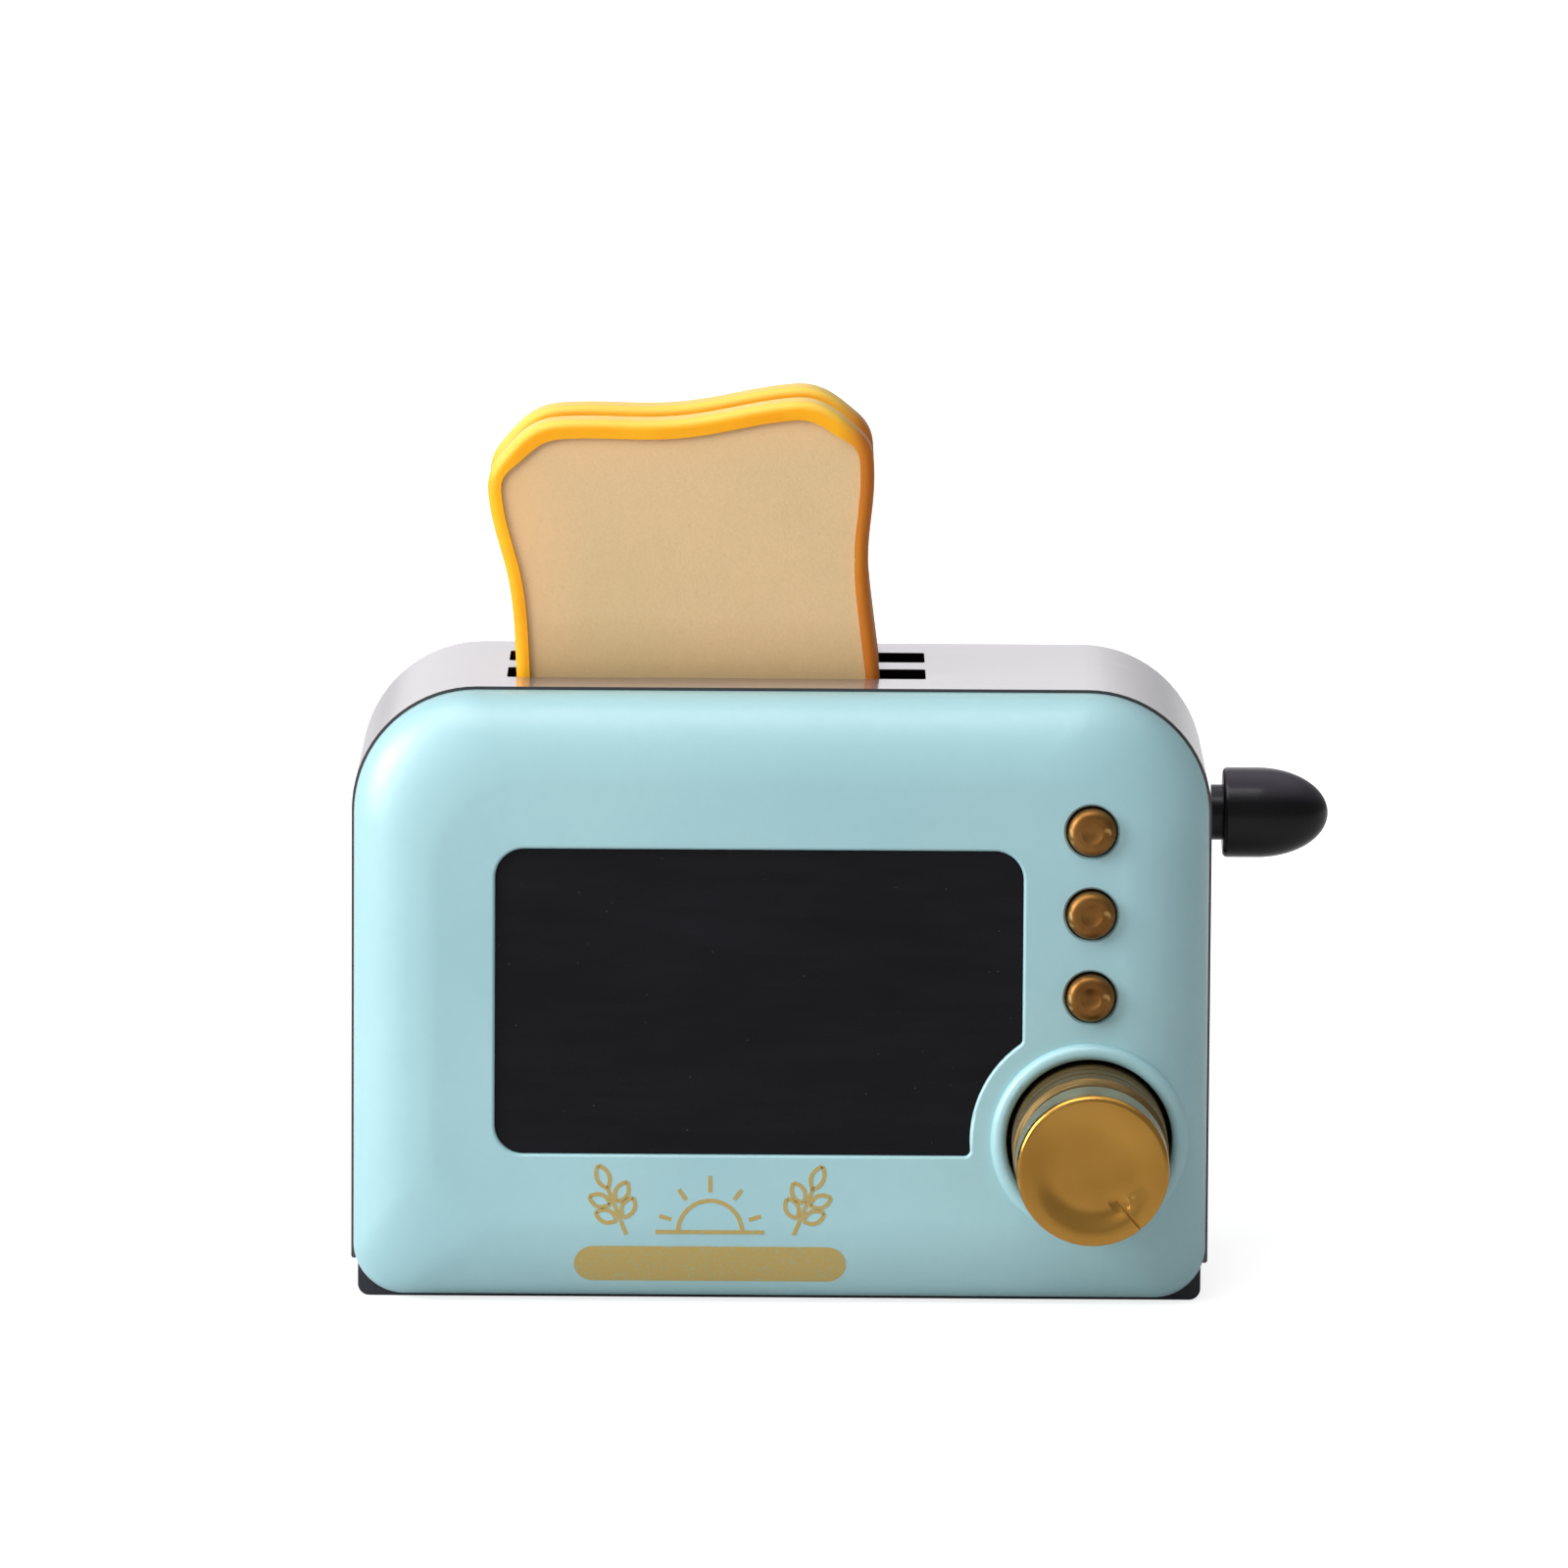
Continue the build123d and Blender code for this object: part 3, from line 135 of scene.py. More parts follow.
# Colours, as 8-bit display values
colours = {
    "shell": (154, 198, 206),
    "shell_light": (162, 206, 212),
    "shell_grain": (142, 187, 197),
    "band": (193, 188, 196),
    "band_light": (205, 201, 209),
    "band_cloud": (185, 177, 187),
    # Painted reflection and shade of the bread's foot on the band's top
    "band_painted_reflection": (96, 72, 58),
    # Painted shade of the seam, on the band's cut ends
    "band_seam_painted_shade": (84, 80, 82),
    # Painted shade inside the slots
    "band_slot_painted_shade": (30, 26, 26),
    "base_plastic": (40, 40, 46),
    "base_plastic_light": (50, 50, 58),
    "inner_plastic": (15, 15, 16),
    "inner_plastic_light": (21, 21, 23),
    "backing_card": (16, 16, 18),
    "backing_card_light": (24, 24, 27),
    "pane": (16, 15, 19),
    "pane_light": (24, 23, 28),
    "pane_dust": (120, 118, 124),
    "gold": (170, 123, 55),
    "gold_light": (193, 144, 69),
    # Painted highlight on the knob's outer edges
    "gold_edge_highlight": (230, 192, 112),
    # Darker gold of the knob's skirt and neck
    "gold_skirt": (98, 80, 48),
    "gold_skirt_light": (136, 114, 76),
    "bronze": (124, 84, 42),
    "bronze_light": (146, 104, 56),
    # Painted highlight on the buttons' outer edges
    "bronze_edge_highlight": (200, 160, 100),
    "lever": (5, 4, 7),
    "lever_light": (9, 8, 12),
    # Painted highlight on the lever's upward faces
    "lever_top_painted_highlight": (92, 86, 100),
    "crust": (252, 177, 20),
    "crust_deep": (246, 160, 12),
    "crust_grain": (252, 190, 50),
    # Painted light on the crust's upward faces
    "crust_top_painted_light": (254, 214, 96),
    # Painted shade on the crust's right side
    "crust_right_painted_shade": (192, 104, 32),
    "crumb": (214, 188, 142),
    "crumb_light": (222, 190, 146),
    "crumb_grain": (200, 172, 124),
    # Painted glow of light through the crumb near the crust
    "crumb_painted_glow": (238, 190, 138),
    # Painted shade at the crumb's low end
    "crumb_low_painted_shade": (178, 148, 96),
    "crumb_pore": (178, 146, 98),
    "ink": (190, 164, 96),
    "ink_thin": (174, 178, 138),
    "steel": (168, 168, 172),
    "steel_light": (206, 206, 210),
    "spring_steel": (120, 120, 126),
    "spring_steel_light": (160, 160, 166),
    "bush_brass": (190, 150, 80),
    "bush_brass_light": (216, 178, 104),
}


def linear(r, g, b):
    """Linear colour from 8-bit display values."""

    def channel(v):
        v /= 255
        return v / 12.92 if v <= 0.04045 else ((v + 0.055) / 1.055) ** 2.4

    return (channel(r), channel(g), channel(b), 1.0)


class Nodes:
    """Shader nodes of a material, the floor or the world."""

    def __init__(self, tree):
        self.tree = tree

    def add(self, kind, **settings):
        node = self.tree.nodes.new(kind)
        for key, value in settings.items():
            setattr(node, key, value)
        return node

    def link(self, a, b):
        self.tree.links.new(a, b)

    def feed(self, value, socket):
        """Links another node's output to the socket, or sets a plain value on it."""
        if hasattr(value, "is_linked"):
            self.link(value, socket)
        else:
            socket.default_value = value

    def math(self, operation, a, b=0.0):
        node = self.add("ShaderNodeMath", operation=operation)
        for socket, value in zip(node.inputs, (a, b)):
            self.feed(value, socket)
        return node.outputs[0]

    def range(self, source, span, low=0.0, high=1.0):
        """Low before the span of the source, high after it, and a straight slope between."""
        node = self.add("ShaderNodeMapRange")
        for key, value in zip(("From Min", "From Max", "To Min", "To Max"), (*span, low, high)):
            node.inputs[key].default_value = value
        self.link(source, node.inputs["Value"])
        return node.outputs["Result"]

    def part(self, vector, name):
        """One component of a vector."""
        node = self.add("ShaderNodeSeparateXYZ")
        self.link(vector, node.inputs[0])
        return node.outputs[name]


class Paint(Nodes):
    """One procedural material. Textures use the object's own coordinates, in millimetres."""

    def __init__(self, name):
        self.mat = bpy.data.materials.new(name)
        self.mat.use_nodes = True
        super().__init__(self.mat.node_tree)
        self.shader = self.tree.nodes["Principled BSDF"]
        self.coords = self.add("ShaderNodeTexCoord")
        scale = self.add("ShaderNodeVectorMath", operation="SCALE")
        scale.inputs["Scale"].default_value = 1 / MM
        self.link(self.coords.outputs["Object"], scale.inputs[0])
        self.place = scale.outputs[0]

    def set(self, **values):
        """Plain values on the shader's own sockets."""
        for key, value in values.items():
            self.shader.inputs[key.replace("_", " ")].default_value = value

    def stretched(self, x, y, z):
        """Coordinates scaled along each axis, for streaks."""
        node = self.add("ShaderNodeVectorMath", operation="MULTIPLY")
        node.inputs[1].default_value = (x, y, z)
        self.link(self.place, node.inputs[0])
        return node.outputs[0]

    def noise(self, scale, detail, roughness=0.5, place=None):
        """Noise with about scale features to the millimetre."""
        node = self.add("ShaderNodeTexNoise")
        node.inputs["Scale"].default_value = scale
        node.inputs["Detail"].default_value = detail
        node.inputs["Roughness"].default_value = roughness
        self.link(place or self.place, node.inputs["Vector"])
        return node.outputs["Fac"]

    def spots(self, scale, size, soft):
        """Scattered round spots: 1 in a spot, 0 outside."""
        node = self.add("ShaderNodeTexVoronoi")
        node.inputs["Scale"].default_value = scale
        self.link(self.place, node.inputs["Vector"])
        return self.range(node.outputs["Distance"], (size, size - soft))

    def axis(self, name):
        """One coordinate in millimetres."""
        return self.part(self.place, name)

    def facing(self, name):
        """One component of the surface's own direction."""
        return self.part(self.coords.outputs["Normal"], name)

    def edges(self, span):
        """Outer edges, from the mesh's pointiness, where a highlight is painted."""
        return self.range(self.add("ShaderNodeNewGeometry").outputs["Pointiness"], span)

    def mix(self, fac, a, b):
        """Colour a where fac is 0 and b where it is 1. A colour is a name or an output."""
        node = self.add("ShaderNodeMix", data_type="RGBA")
        self.link(fac, node.inputs["Factor"])
        colour_inputs = [s for s in node.inputs if s.type == "RGBA"]
        for socket, value in zip(colour_inputs, (a, b)):
            self.feed(linear(*colours[value]) if isinstance(value, str) else value, socket)
        return [s for s in node.outputs if s.type == "RGBA"][0]

    def fade(self, source, a, b, span=middle, most=1.0):
        """Colour a, turning to b over the span of the source, by the share most at the end."""
        return self.mix(self.range(source, span, 0.0, most), a, b)

    def colour(self, source):
        self.link(source, self.shader.inputs["Base Color"])

    def rough(self, source, low, high):
        """Roughness between low and high, driven by a texture."""
        self.link(self.range(source, wide, low, high), self.shader.inputs["Roughness"])

    def bump(self, *layers):
        """Stacked bumps, each a height source and its depth in millimetres."""
        normal = None
        for source, depth in layers:
            node = self.add("ShaderNodeBump")
            node.inputs["Distance"].default_value = depth * MM
            self.link(source, node.inputs["Height"])
            if normal:
                self.link(normal, node.inputs["Normal"])
            normal = node.outputs["Normal"]
        self.link(normal, self.shader.inputs["Normal"])


def mint_shell():
    """Mint-blue moulded plastic with a soft gloss and a faint orange peel."""
    p = Paint("mint_shell")
    drift = p.noise(0.035, 3)
    grain = p.noise(0.9, 4)
    tone = p.fade(drift, "shell", "shell_light")
    p.colour(p.fade(grain, tone, "shell_grain", wide, 0.12))
    p.rough(grain, 0.4, 0.48)
    p.bump((p.noise(1.6, 2), 0.006), (p.noise(9.0, 3), 0.0025))
    p.set(IOR=1.5, Specular_IOR_Level=1.0, Coat_Weight=0.35, Coat_Roughness=0.35)
    return p.mat


def band_metal():
    """Polished metal wrap with fine lines along it.

    Its cut ends and slot walls are painted dark as shade of the seam and the slots, and the top
    beside the bread is painted darker as a reflection and shade of the bread's foot.
    """
    end_depth = (16.9, 16.98)
    slots_depth = (10.6, 10.4)
    slots_side = (31.2, 31.0)
    slots_top = (63.66, 63.6)
    # Where the band's top beside the bread is painted darker, as a painted reflection and shade
    # of the bread's foot
    reflection_depth = (15.5, 11.0)
    reflection_side = (20.0, 17.0)
    reflection_share = 0.6
    bread_centre_x = -8.6

    p = Paint("band_metal")
    fine = p.noise(1.0, 5, 0.7, p.stretched(0.05, 14.0, 0.05))
    broad = p.noise(1.0, 2, 0.5, p.stretched(0.02, 0.5, 0.02))
    tone = p.fade(fine, "band", "band_light")
    tone = p.fade(broad, tone, "band_cloud", wide, 0.35)
    depth = p.math("ABSOLUTE", p.axis("Y"))
    side = p.math("ABSOLUTE", p.axis("X"))
    from_bread = p.math("ABSOLUTE", p.math("SUBTRACT", p.axis("X"), bread_centre_x))
    near_slots = p.math("MULTIPLY", p.range(depth, slots_depth), p.range(side, slots_side))
    # Painted shade: the slot walls below the top are darkened as the shade inside the slots
    inside = p.math("MULTIPLY", near_slots, p.range(p.axis("Z"), slots_top))
    # Painted reflection and shade: the top beside the slots, across the bread's width, is
    # darkened
    painted_reflection = p.math(
        "MULTIPLY",
        p.range(depth, reflection_depth, 0.0, reflection_share),
        p.range(from_bread, reflection_side),
    )
    tone = p.mix(painted_reflection, tone, "band_painted_reflection")
    # Painted shade: the cut ends are darkened to stand in for the shade in the seam with the
    # shell
    tone = p.fade(depth, tone, "band_seam_painted_shade", end_depth)
    p.colour(p.mix(inside, tone, "band_slot_painted_shade"))
    p.rough(fine, 0.1, 0.2)
    p.bump((fine, 0.003))
    p.set(Metallic=0.7)
    return p.mat


def moulded(name, rough_low, rough_high, grain_scale=2.0, grain_depth=0.01):
    """Plain moulded plastic with a fine spark-etched grain."""
    p = Paint(name)
    grain = p.noise(grain_scale, 3)
    p.colour(p.fade(p.noise(0.1, 3), name, name + "_light"))
    p.rough(grain, rough_low, rough_high)
    p.bump((grain, grain_depth))
    p.set(IOR=1.47, Specular_IOR_Level=0.4)
    return p.mat


def smoked_pane():
    """Smoked acrylic, nearly black, with dust specks and faint wipe marks."""
    p = Paint("smoked_pane")
    wipe = p.noise(1.0, 3, 0.6, p.stretched(0.05, 0.3, 0.22))
    dust = p.spots(0.55, 0.05, 0.03)
    base = p.fade(wipe, "pane", "pane_light", (0.35, 0.7))
    p.colour(p.mix(p.math("MULTIPLY", dust, 0.35), base, "pane_dust"))
    p.rough(wipe, 0.2, 0.34)
    p.bump((p.noise(0.25, 1), 0.01))
    p.set(IOR=1.45, Specular_IOR_Level=0.14)
    return p.mat


def button_plating():
    """Satin bronze with a cloudy tone and a painted highlight on its outer edges."""
    p = Paint("button_plating")
    cloud = p.noise(0.28, 3, 0.55)
    tone = p.fade(cloud, "bronze", "bronze_light")
    # Painted highlight: the outer edges, found by pointiness, are lightened
    p.colour(p.mix(p.edges((0.52, 0.6)), tone, "bronze_edge_highlight"))
    p.rough(cloud, 0.38, 0.46)
    p.bump((p.noise(5.0, 3), 0.006))
    p.set(Metallic=1.0)
    return p.mat


def gold_plating():
    """Satin gold with turned lines; the skirt and neck behind the cap are duller and rougher."""
    cap_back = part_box("dial_knob")[0].y / MM + knob_cap_length
    cap_border = 0.05
    skirt_roughness = 0.58

    p = Paint("gold_plating")
    cloud = p.noise(0.1, 2)
    lines = p.noise(1.0, 3, 0.6, p.stretched(0.3, 9.0, 0.3))
    behind = p.range(p.axis("Y"), (cap_back - cap_border, cap_back + cap_border))
    tone = p.fade(cloud, "gold", "gold_light")
    # Painted highlight: the outer edges, found by pointiness, are lightened
    tone = p.mix(p.edges((0.56, 0.66)), tone, "gold_edge_highlight")
    # Darker, duller gold with turned lines on the skirt and neck behind the cap
    skirt_tone = p.fade(lines, "gold_skirt", "gold_skirt_light")
    p.colour(p.mix(behind, tone, skirt_tone))
    cap_rough = p.range(cloud, wide, 0.2, 0.26)
    skirt_rough = p.math("MULTIPLY", behind, skirt_roughness)
    p.link(p.math("MAXIMUM", cap_rough, skirt_rough), p.shader.inputs["Roughness"])
    p.bump((lines, 0.005), (p.noise(5.0, 3), 0.003))
    p.set(Metallic=1.0)
    return p.mat


def lever_plastic():
    """Satin black plastic grip, with a painted highlight on its upward faces."""
    p = Paint("lever_plastic")
    grain = p.noise(3.0, 3)
    tone = p.fade(p.noise(0.2, 2), "lever", "lever_light", wide)
    # Painted highlight: the upward faces are lightened
    p.colour(p.fade(p.facing("Z"), tone, "lever_top_painted_highlight", (0.35, 1.0), 0.6))
    p.rough(grain, 0.18, 0.26)
    p.bump((grain, 0.004))
    p.set(IOR=1.46, Specular_IOR_Level=0.3)
    return p.mat


def crust():
    """Orange-yellow crust with a soft sheen, painted paler on its upward faces as light from
    above, and painted browner on the right as shade.
    """
    right_side = (5.4, 8.2)

    p = Paint("crust")
    fine = p.noise(1.5, 3)
    tone = p.fade(p.noise(0.12, 3), "crust", "crust_deep")
    tone = p.fade(fine, tone, "crust_grain", (0.4, 0.75), 0.15)
    # Painted light from above: the upward faces are made paler
    tone = p.fade(p.facing("Z"), tone, "crust_top_painted_light", (0.1, 0.75), 0.85)
    # Painted shade: the right side is browned
    p.colour(p.fade(p.axis("X"), tone, "crust_right_painted_shade", right_side, 0.88))
    p.rough(fine, 0.34, 0.46)
    p.bump((p.noise(0.5, 2), 0.03), (fine, 0.008))
    p.set(
        IOR=1.46,
        Specular_IOR_Level=0.32,
        Subsurface_Weight=0.12,
        Subsurface_Scale=0.0015,
        Subsurface_Radius=(1.0, 0.5, 0.15),
    )
    return p.mat


def crumb():
    """Cream crumb with fine grain and small pores, a painted warm glow at the left and the top,
    and painted shade at the low end.
    """
    warm_left = (-20.5, -29.5)
    warm_top = (85.5, 90.0)
    warm_top_slope = 0.1
    low_end = (70.0, 64.5)

    p = Paint("crumb")
    grain = p.noise(3.2, 4, 0.6)
    pores = p.spots(0.5, 0.16, 0.12)
    tone = p.fade(p.noise(0.07, 3), "crumb", "crumb_light")
    tone = p.fade(grain, tone, "crumb_grain", (0.35, 0.7), 0.3)
    slope = p.math("MULTIPLY", p.axis("X"), warm_top_slope)
    # Painted glow: the crumb is warmed at the left and the top, as light shining through near the
    # crust
    painted_glow = p.math(
        "MAXIMUM",
        p.range(p.axis("X"), warm_left, 0.0, 0.75),
        p.range(p.math("SUBTRACT", p.axis("Z"), slope), warm_top, 0.0, 0.45),
    )
    tone = p.mix(painted_glow, tone, "crumb_painted_glow")
    # Painted shade: the crumb is darkened towards its foot, where the slot shades it
    tone = p.fade(p.axis("Z"), tone, "crumb_low_painted_shade", low_end, 0.4)
    p.colour(p.mix(p.math("MULTIPLY", pores, 0.08), tone, "crumb_pore"))
    p.rough(grain, 0.5, 0.64)
    p.bump((p.noise(0.6, 3), 0.03), (grain, 0.03), (p.math("SUBTRACT", 1.0, pores), 0.012))
    p.set(
        IOR=1.45,
        Specular_IOR_Level=0.3,
        Subsurface_Weight=0.1,
        Subsurface_Scale=0.0012,
        Subsurface_Radius=(1.0, 0.7, 0.4),
    )
    return p.mat


def bare_metal(name, rough_low, rough_high):
    """Drawn or plated steel, or turned brass, of the working parts."""
    p = Paint(name)
    lines = p.noise(1.0, 3, 0.6, p.stretched(4.0, 4.0, 0.5))
    p.colour(p.fade(lines, name, name + "_light"))
    p.rough(lines, rough_low, rough_high)
    p.bump((lines, 0.004))
    p.set(Metallic=1.0)
    return p.mat


def gold_ink():
    """Thin gold print: slightly metallic, with small misses in the ink."""
    p = Paint("gold_ink")
    misses = p.noise(2.6, 4, 0.65)
    p.colour(p.fade(misses, "ink", "ink_thin", (0.5, 0.72)))
    p.rough(misses, 0.4, 0.55)
    p.bump((misses, 0.004))
    p.set(Metallic=0.35)
    return p.mat


def finishes():
    """The material of each slot in the record."""
    return {
        "mint_shell": mint_shell(),
        "band_metal": band_metal(),
        "base_plastic": moulded("base_plastic", 0.45, 0.6),
        "inner_plastic": moulded("inner_plastic", 0.5, 0.65),
        "smoked_pane": smoked_pane(),
        "backing_card": moulded("backing_card", 0.7, 0.85, grain_scale=5.0, grain_depth=0.02),
        "gold_plating": gold_plating(),
        "button_plating": button_plating(),
        "lever_plastic": lever_plastic(),
        "crust": crust(),
        "crumb": crumb(),
        "steel": bare_metal("steel", 0.22, 0.38),
        "spring_steel": bare_metal("spring_steel", 0.25, 0.4),
        "bush_brass": bare_metal("bush_brass", 0.2, 0.35),
    }


def dress(materials):
    """Gives every node the finish of its slot."""
    for row in frame["record"]["subparts"]:
        mesh = nodes[row["node"]].data
        mesh.materials.clear()
        mesh.materials.append(materials[row["material_slot"]])


def add_object(name, data):
    """New object in the scene."""
    made = bpy.data.objects.new(name, data)
    bpy.context.scene.collection.objects.link(made)
    return made


def shell_surface():
    """Search tree over the front shell, for laying print on its crowned face."""
    mesh = nodes["front_shell"].data
    corners = [v.co.copy() for v in mesh.vertices]
    return BVHTree.FromPolygons(corners, [tuple(f.vertices) for f in mesh.polygons])


def laid_on(tree, x, z):
    """Place of the ink on the shell's face, straight behind a point (x, z) in millimetres."""
    clear_of_part = 0.05
    start = Vector((x * MM, cad_low.y - clear_of_part, z * MM))
    point, normal, _, _ = tree.ray_cast(start, Vector((0, 1, 0)))
    if normal.y > 0:
        normal = -normal
    return point + normal * (ink_lift * MM)


def printed(name, strips, tree):
    """Thin piece of ink from strips, each of them rows of (x, z) in millimetres."""
    bm = bmesh.new()
    for strip in strips:
        previous = None
        for row in strip:
            current = [bm.verts.new(laid_on(tree, x, z)) for x, z in row]
            if previous:
                for i in range(len(row) - 1):
                    bm.faces.new((previous[i], previous[i + 1], current[i + 1], current[i]))
            previous = current
    bmesh.ops.recalc_face_normals(bm, faces=bm.faces)
    mesh = bpy.data.meshes.new(name)
    bm.to_mesh(mesh)
    bm.free()
    return add_object(name, mesh)


def polar(centre, radius, degrees):
    """Point (x, z) at a distance and an angle from a centre."""
    angle = math.radians(degrees)
    return centre[0] + radius * math.cos(angle), centre[1] + radius * math.sin(angle)


def arc(centre, radius, start, end, steps):
    """Points on a circle's arc, angles in degrees."""
    return [polar(centre, radius, start + (end - start) * i / steps) for i in range(steps + 1)]


def run(start, end, steps=8):
    """Points on a straight line."""
    (x0, z0), (x1, z1) = start, end
    return [(x0 + (x1 - x0) * i / steps, z0 + (z1 - z0) * i / steps) for i in range(steps + 1)]


def stroke(points):
    """Printed line along a path of (x, z), as a strip with rows of two points."""
    half = print_line / 2
    rows = []
    for i, (x, z) in enumerate(points):
        ax, az = points[max(i - 1, 0)]
        bx, bz = points[min(i + 1, len(points) - 1)]
        length = math.hypot(bx - ax, bz - az)
        nx, nz = -(bz - az) / length, (bx - ax) / length
        rows.append([(x + nx * half, z + nz * half), (x - nx * half, z - nz * half)])
    return rows


def badge():
    """Bare badge with round ends, as one strip."""
    rows_across = 18
    columns = 70
    straight = badge_half_length - badge_half_height
    rows = []
    for i in range(rows_across + 1):
        reach, rise = polar((straight, 0), badge_half_height, -90 + 180 * i / rows_across)
        left = print_centre_x - reach
        z = badge_height + rise
        rows.append([(left + 2 * reach * j / columns, z) for j in range(columns + 1)])
    return [rows]


def leaf(foot, length, tilt):
    """Outline of a pointed leaf, as two lines from the foot and back."""
    width = 1.3
    fullness = 0.8
    steps = 14
    cos, sin = math.cos(math.radians(tilt)), math.sin(math.radians(tilt))

    def edge(side, t):
        along = length * t
        out = side * width / 2 * math.sin(math.pi * t) ** fullness
        return foot[0] + along * cos - out * sin, foot[1] + along * sin + out * cos

    shares = [i / steps for i in range(steps + 1)]
    return [
        stroke([edge(1, t) for t in shares]),
        stroke([edge(-1, 1 - t) for t in shares]),
    ]


def sprig(foot, lean):
    """Stem with two pairs of leaves and one at the tip."""
    stem = 5.2
    leaf_gap = 0.5
    leaf_spread = 48
    leaf_length = 2.3
    tip_leaf_length = 2.6
    tip = polar(foot, stem, lean)
    strips = [stroke(run(foot, tip))]
    for share in (0.28, 0.62):
        joint = polar(foot, stem * share, lean)
        for side in (-1, 1):
            tilt = lean + side * leaf_spread
            strips += leaf(polar(joint, leaf_gap, tilt), leaf_length, tilt)
    return strips + leaf(tip, tip_leaf_length, lean)


def half_sun():
    """Rising half disc with a horizon and rays."""
    horizon_half = 5.6
    ray_start = 0.9
    ray_end = 2.2
    middle_ray_end = 2.6
    centre = (print_centre_x, sun_height)
    horizon = run(polar(centre, -horizon_half, 0), polar(centre, horizon_half, 0), 20)
    strips = [stroke(arc(centre, sun_radius, 0, 180, 28)), stroke(horizon)]
    for degrees in (18, 54, 90, 126, 162):
        end = middle_ray_end if degrees == 90 else ray_end
        near = polar(centre, sun_radius + ray_start, degrees)
        far = polar(centre, sun_radius + end, degrees)
        strips.append(stroke(run(near, far, 5)))
    return strips


def add_print(material):
    """Gold badge and three plain motifs under the window."""
    tree = shell_surface()
    left_foot = (print_centre_x - sprig_offset, sprig_height)
    right_foot = (print_centre_x + sprig_offset, sprig_height)
    pieces = {
        "print_badge": badge(),
        "print_sun": half_sun(),
        "print_sprig_left": sprig(left_foot, 90 + sprig_lean),
        "print_sprig_right": sprig(right_foot, 90 - sprig_lean),
    }
    for name, strips in pieces.items():
        piece = printed(name, strips, tree)
        piece.data.materials.append(material)
        solid = piece.modifiers.new("ink", "SOLIDIFY")
        solid.thickness = ink_thickness * MM
        solid.offset = 0
        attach(piece, "casing")


def shorten_springs(material):
    """Copies of the coil springs in the given finish, in place of the hidden originals, fixed to
    the casing.
    """
    springs = {
        "carriage_spring_left": ("carriage_slide", carriage_travel),
        "carriage_spring_right": ("carriage_slide", carriage_travel),
        "button_spring_top": ("top_button_press", button_travel),
        "button_spring_middle": ("middle_button_press", button_travel),
        "button_spring_bottom": ("bottom_button_press", button_travel),
    }
    for name, (joint, travel) in springs.items():
        piece = add_object("coil_" + name, nodes[name].data.copy())
        piece.matrix_world = nodes[name].matrix_world.copy()
        piece.data.materials.clear()
        piece.data.materials.append(material)
        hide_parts(name)
        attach(piece, "casing")
        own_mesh(piece)


def make_camera():
    """Camera in front and a little above, with a slight roll."""
    back = Vector((0, -math.cos(camera_elevation), math.sin(camera_elevation)))
    data = bpy.data.cameras.new("camera")
    data.sensor_width = camera_sensor
    data.lens = camera_lens
    camera = add_object("camera", data)
    camera.location = camera_aim + back * camera_distance
    camera.rotation_mode = "QUATERNION"
    camera.rotation_quaternion = back.to_track_quat("Z", "Y") @ Quaternion((0, 0, 1), camera_roll)
    bpy.context.scene.camera = camera


def add_lamps():
    """Soft lamps: a key from the left, one from above and a weak fill in front."""
    for name, (place, size, power) in lamps.items():
        data = bpy.data.lights.new(name, "AREA")
        data.shape = "RECTANGLE"
        data.size, data.size_y = size
        data.energy = power
        lamp = add_object(name, data)
        lamp.location = place
        lamp.rotation_mode = "QUATERNION"
        direction = Vector(lamp_target) - Vector(place)
        lamp.rotation_quaternion = direction.to_track_quat("-Z", "Y")


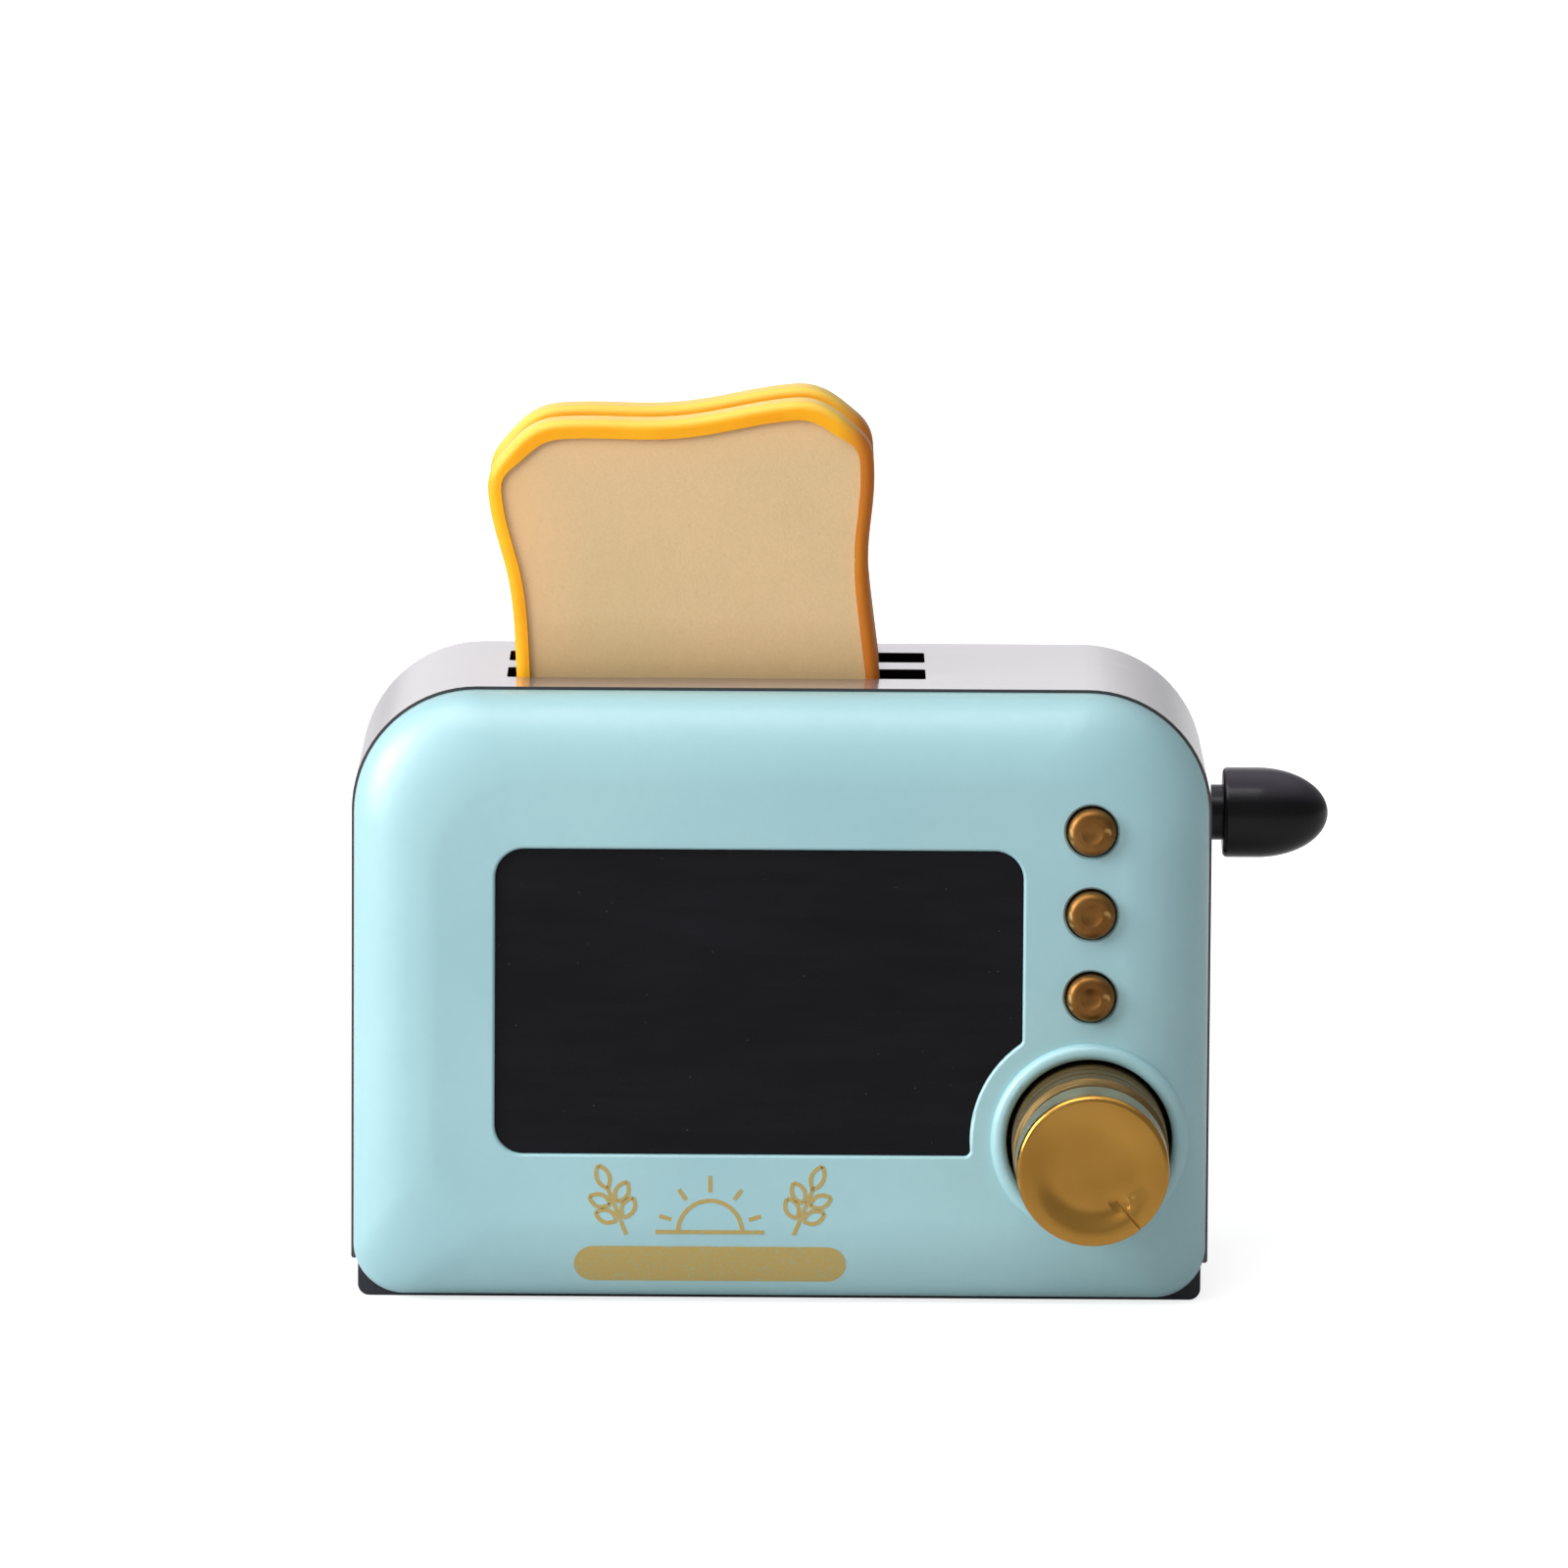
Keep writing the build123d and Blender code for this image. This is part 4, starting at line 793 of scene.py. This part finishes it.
def make_surroundings():
    """Even light that is stronger on the left, and white where the camera looks past the part."""
    world = bpy.data.worlds.new("studio")
    bpy.context.scene.world = world
    world.use_nodes = True
    n = Nodes(world.node_tree)
    direction = n.add("ShaderNodeTexCoord").outputs["Generated"]
    across, away, up = (n.part(direction, name) for name in "XYZ")
    rays = n.add("ShaderNodeLightPath").outputs
    wall = n.math("MULTIPLY", rays["Is Glossy Ray"], n.range(away, wall_span))
    wall = n.math("MULTIPLY", wall, n.range(across, wall_right_span, 1.0, wall_right_share))
    ceiling = n.math("MULTIPLY", rays["Is Glossy Ray"], n.range(up, ceiling_span))
    mirrored = n.math("MAXIMUM", wall, ceiling)
    seen = n.math("MAXIMUM", rays["Is Camera Ray"], mirrored)
    seen = n.math("MAXIMUM", seen, rays["Is Transmission Ray"])
    sky = n.range(across, (-1.0, 1.0), sky_left, sky_right)
    background = world.node_tree.nodes["Background"]
    background.inputs["Color"].default_value = white
    n.link(n.math("MAXIMUM", seen, sky), background.inputs["Strength"])


def add_floor():
    """Wide pale floor that keeps a light shadow near the object and is white further out."""
    mesh = bpy.data.meshes.new("floor")
    outline = ((-1, -1), (1, -1), (1, 1), (-1, 1))
    corners = [(x * floor_half, y * floor_half, 0) for x, y in outline]
    mesh.from_pydata(corners, [], [(0, 1, 2, 3)])
    floor = add_object("floor", mesh)
    mat = bpy.data.materials.new("floor")
    mat.use_nodes = True
    n = Nodes(mat.node_tree)
    shader = mat.node_tree.nodes["Principled BSDF"]
    shader.inputs["Base Color"].default_value = floor_grey
    shader.inputs["Roughness"].default_value = 0.8
    shader.inputs["Specular IOR Level"].default_value = 0.1
    shader.inputs["Emission Color"].default_value = white
    place = n.add("ShaderNodeTexCoord").outputs["Object"]
    distance = n.add("ShaderNodeVectorMath", operation="LENGTH")
    n.link(place, distance.inputs[0])
    rays = n.add("ShaderNodeLightPath").outputs
    seen = n.math("MAXIMUM", rays["Is Camera Ray"], rays["Is Transmission Ray"])
    glow = n.range(distance.outputs["Value"], floor_reach, floor_shade)
    mirror_glow = n.range(n.part(place, "Y"), floor_mirror_span, *floor_mirror)
    direct = n.math("MULTIPLY", seen, glow)
    mirrored = n.math("MULTIPLY", rays["Is Glossy Ray"], mirror_glow)
    n.link(n.math("MAXIMUM", direct, mirrored), shader.inputs["Emission Strength"])
    mesh.materials.append(mat)


make_camera()
materials = finishes()
dress(materials)
add_print(gold_ink())
shorten_springs(materials["spring_steel"])
add_lamps()
make_surroundings()
add_floor()
bpy.context.scene.view_settings.view_transform = "Standard"
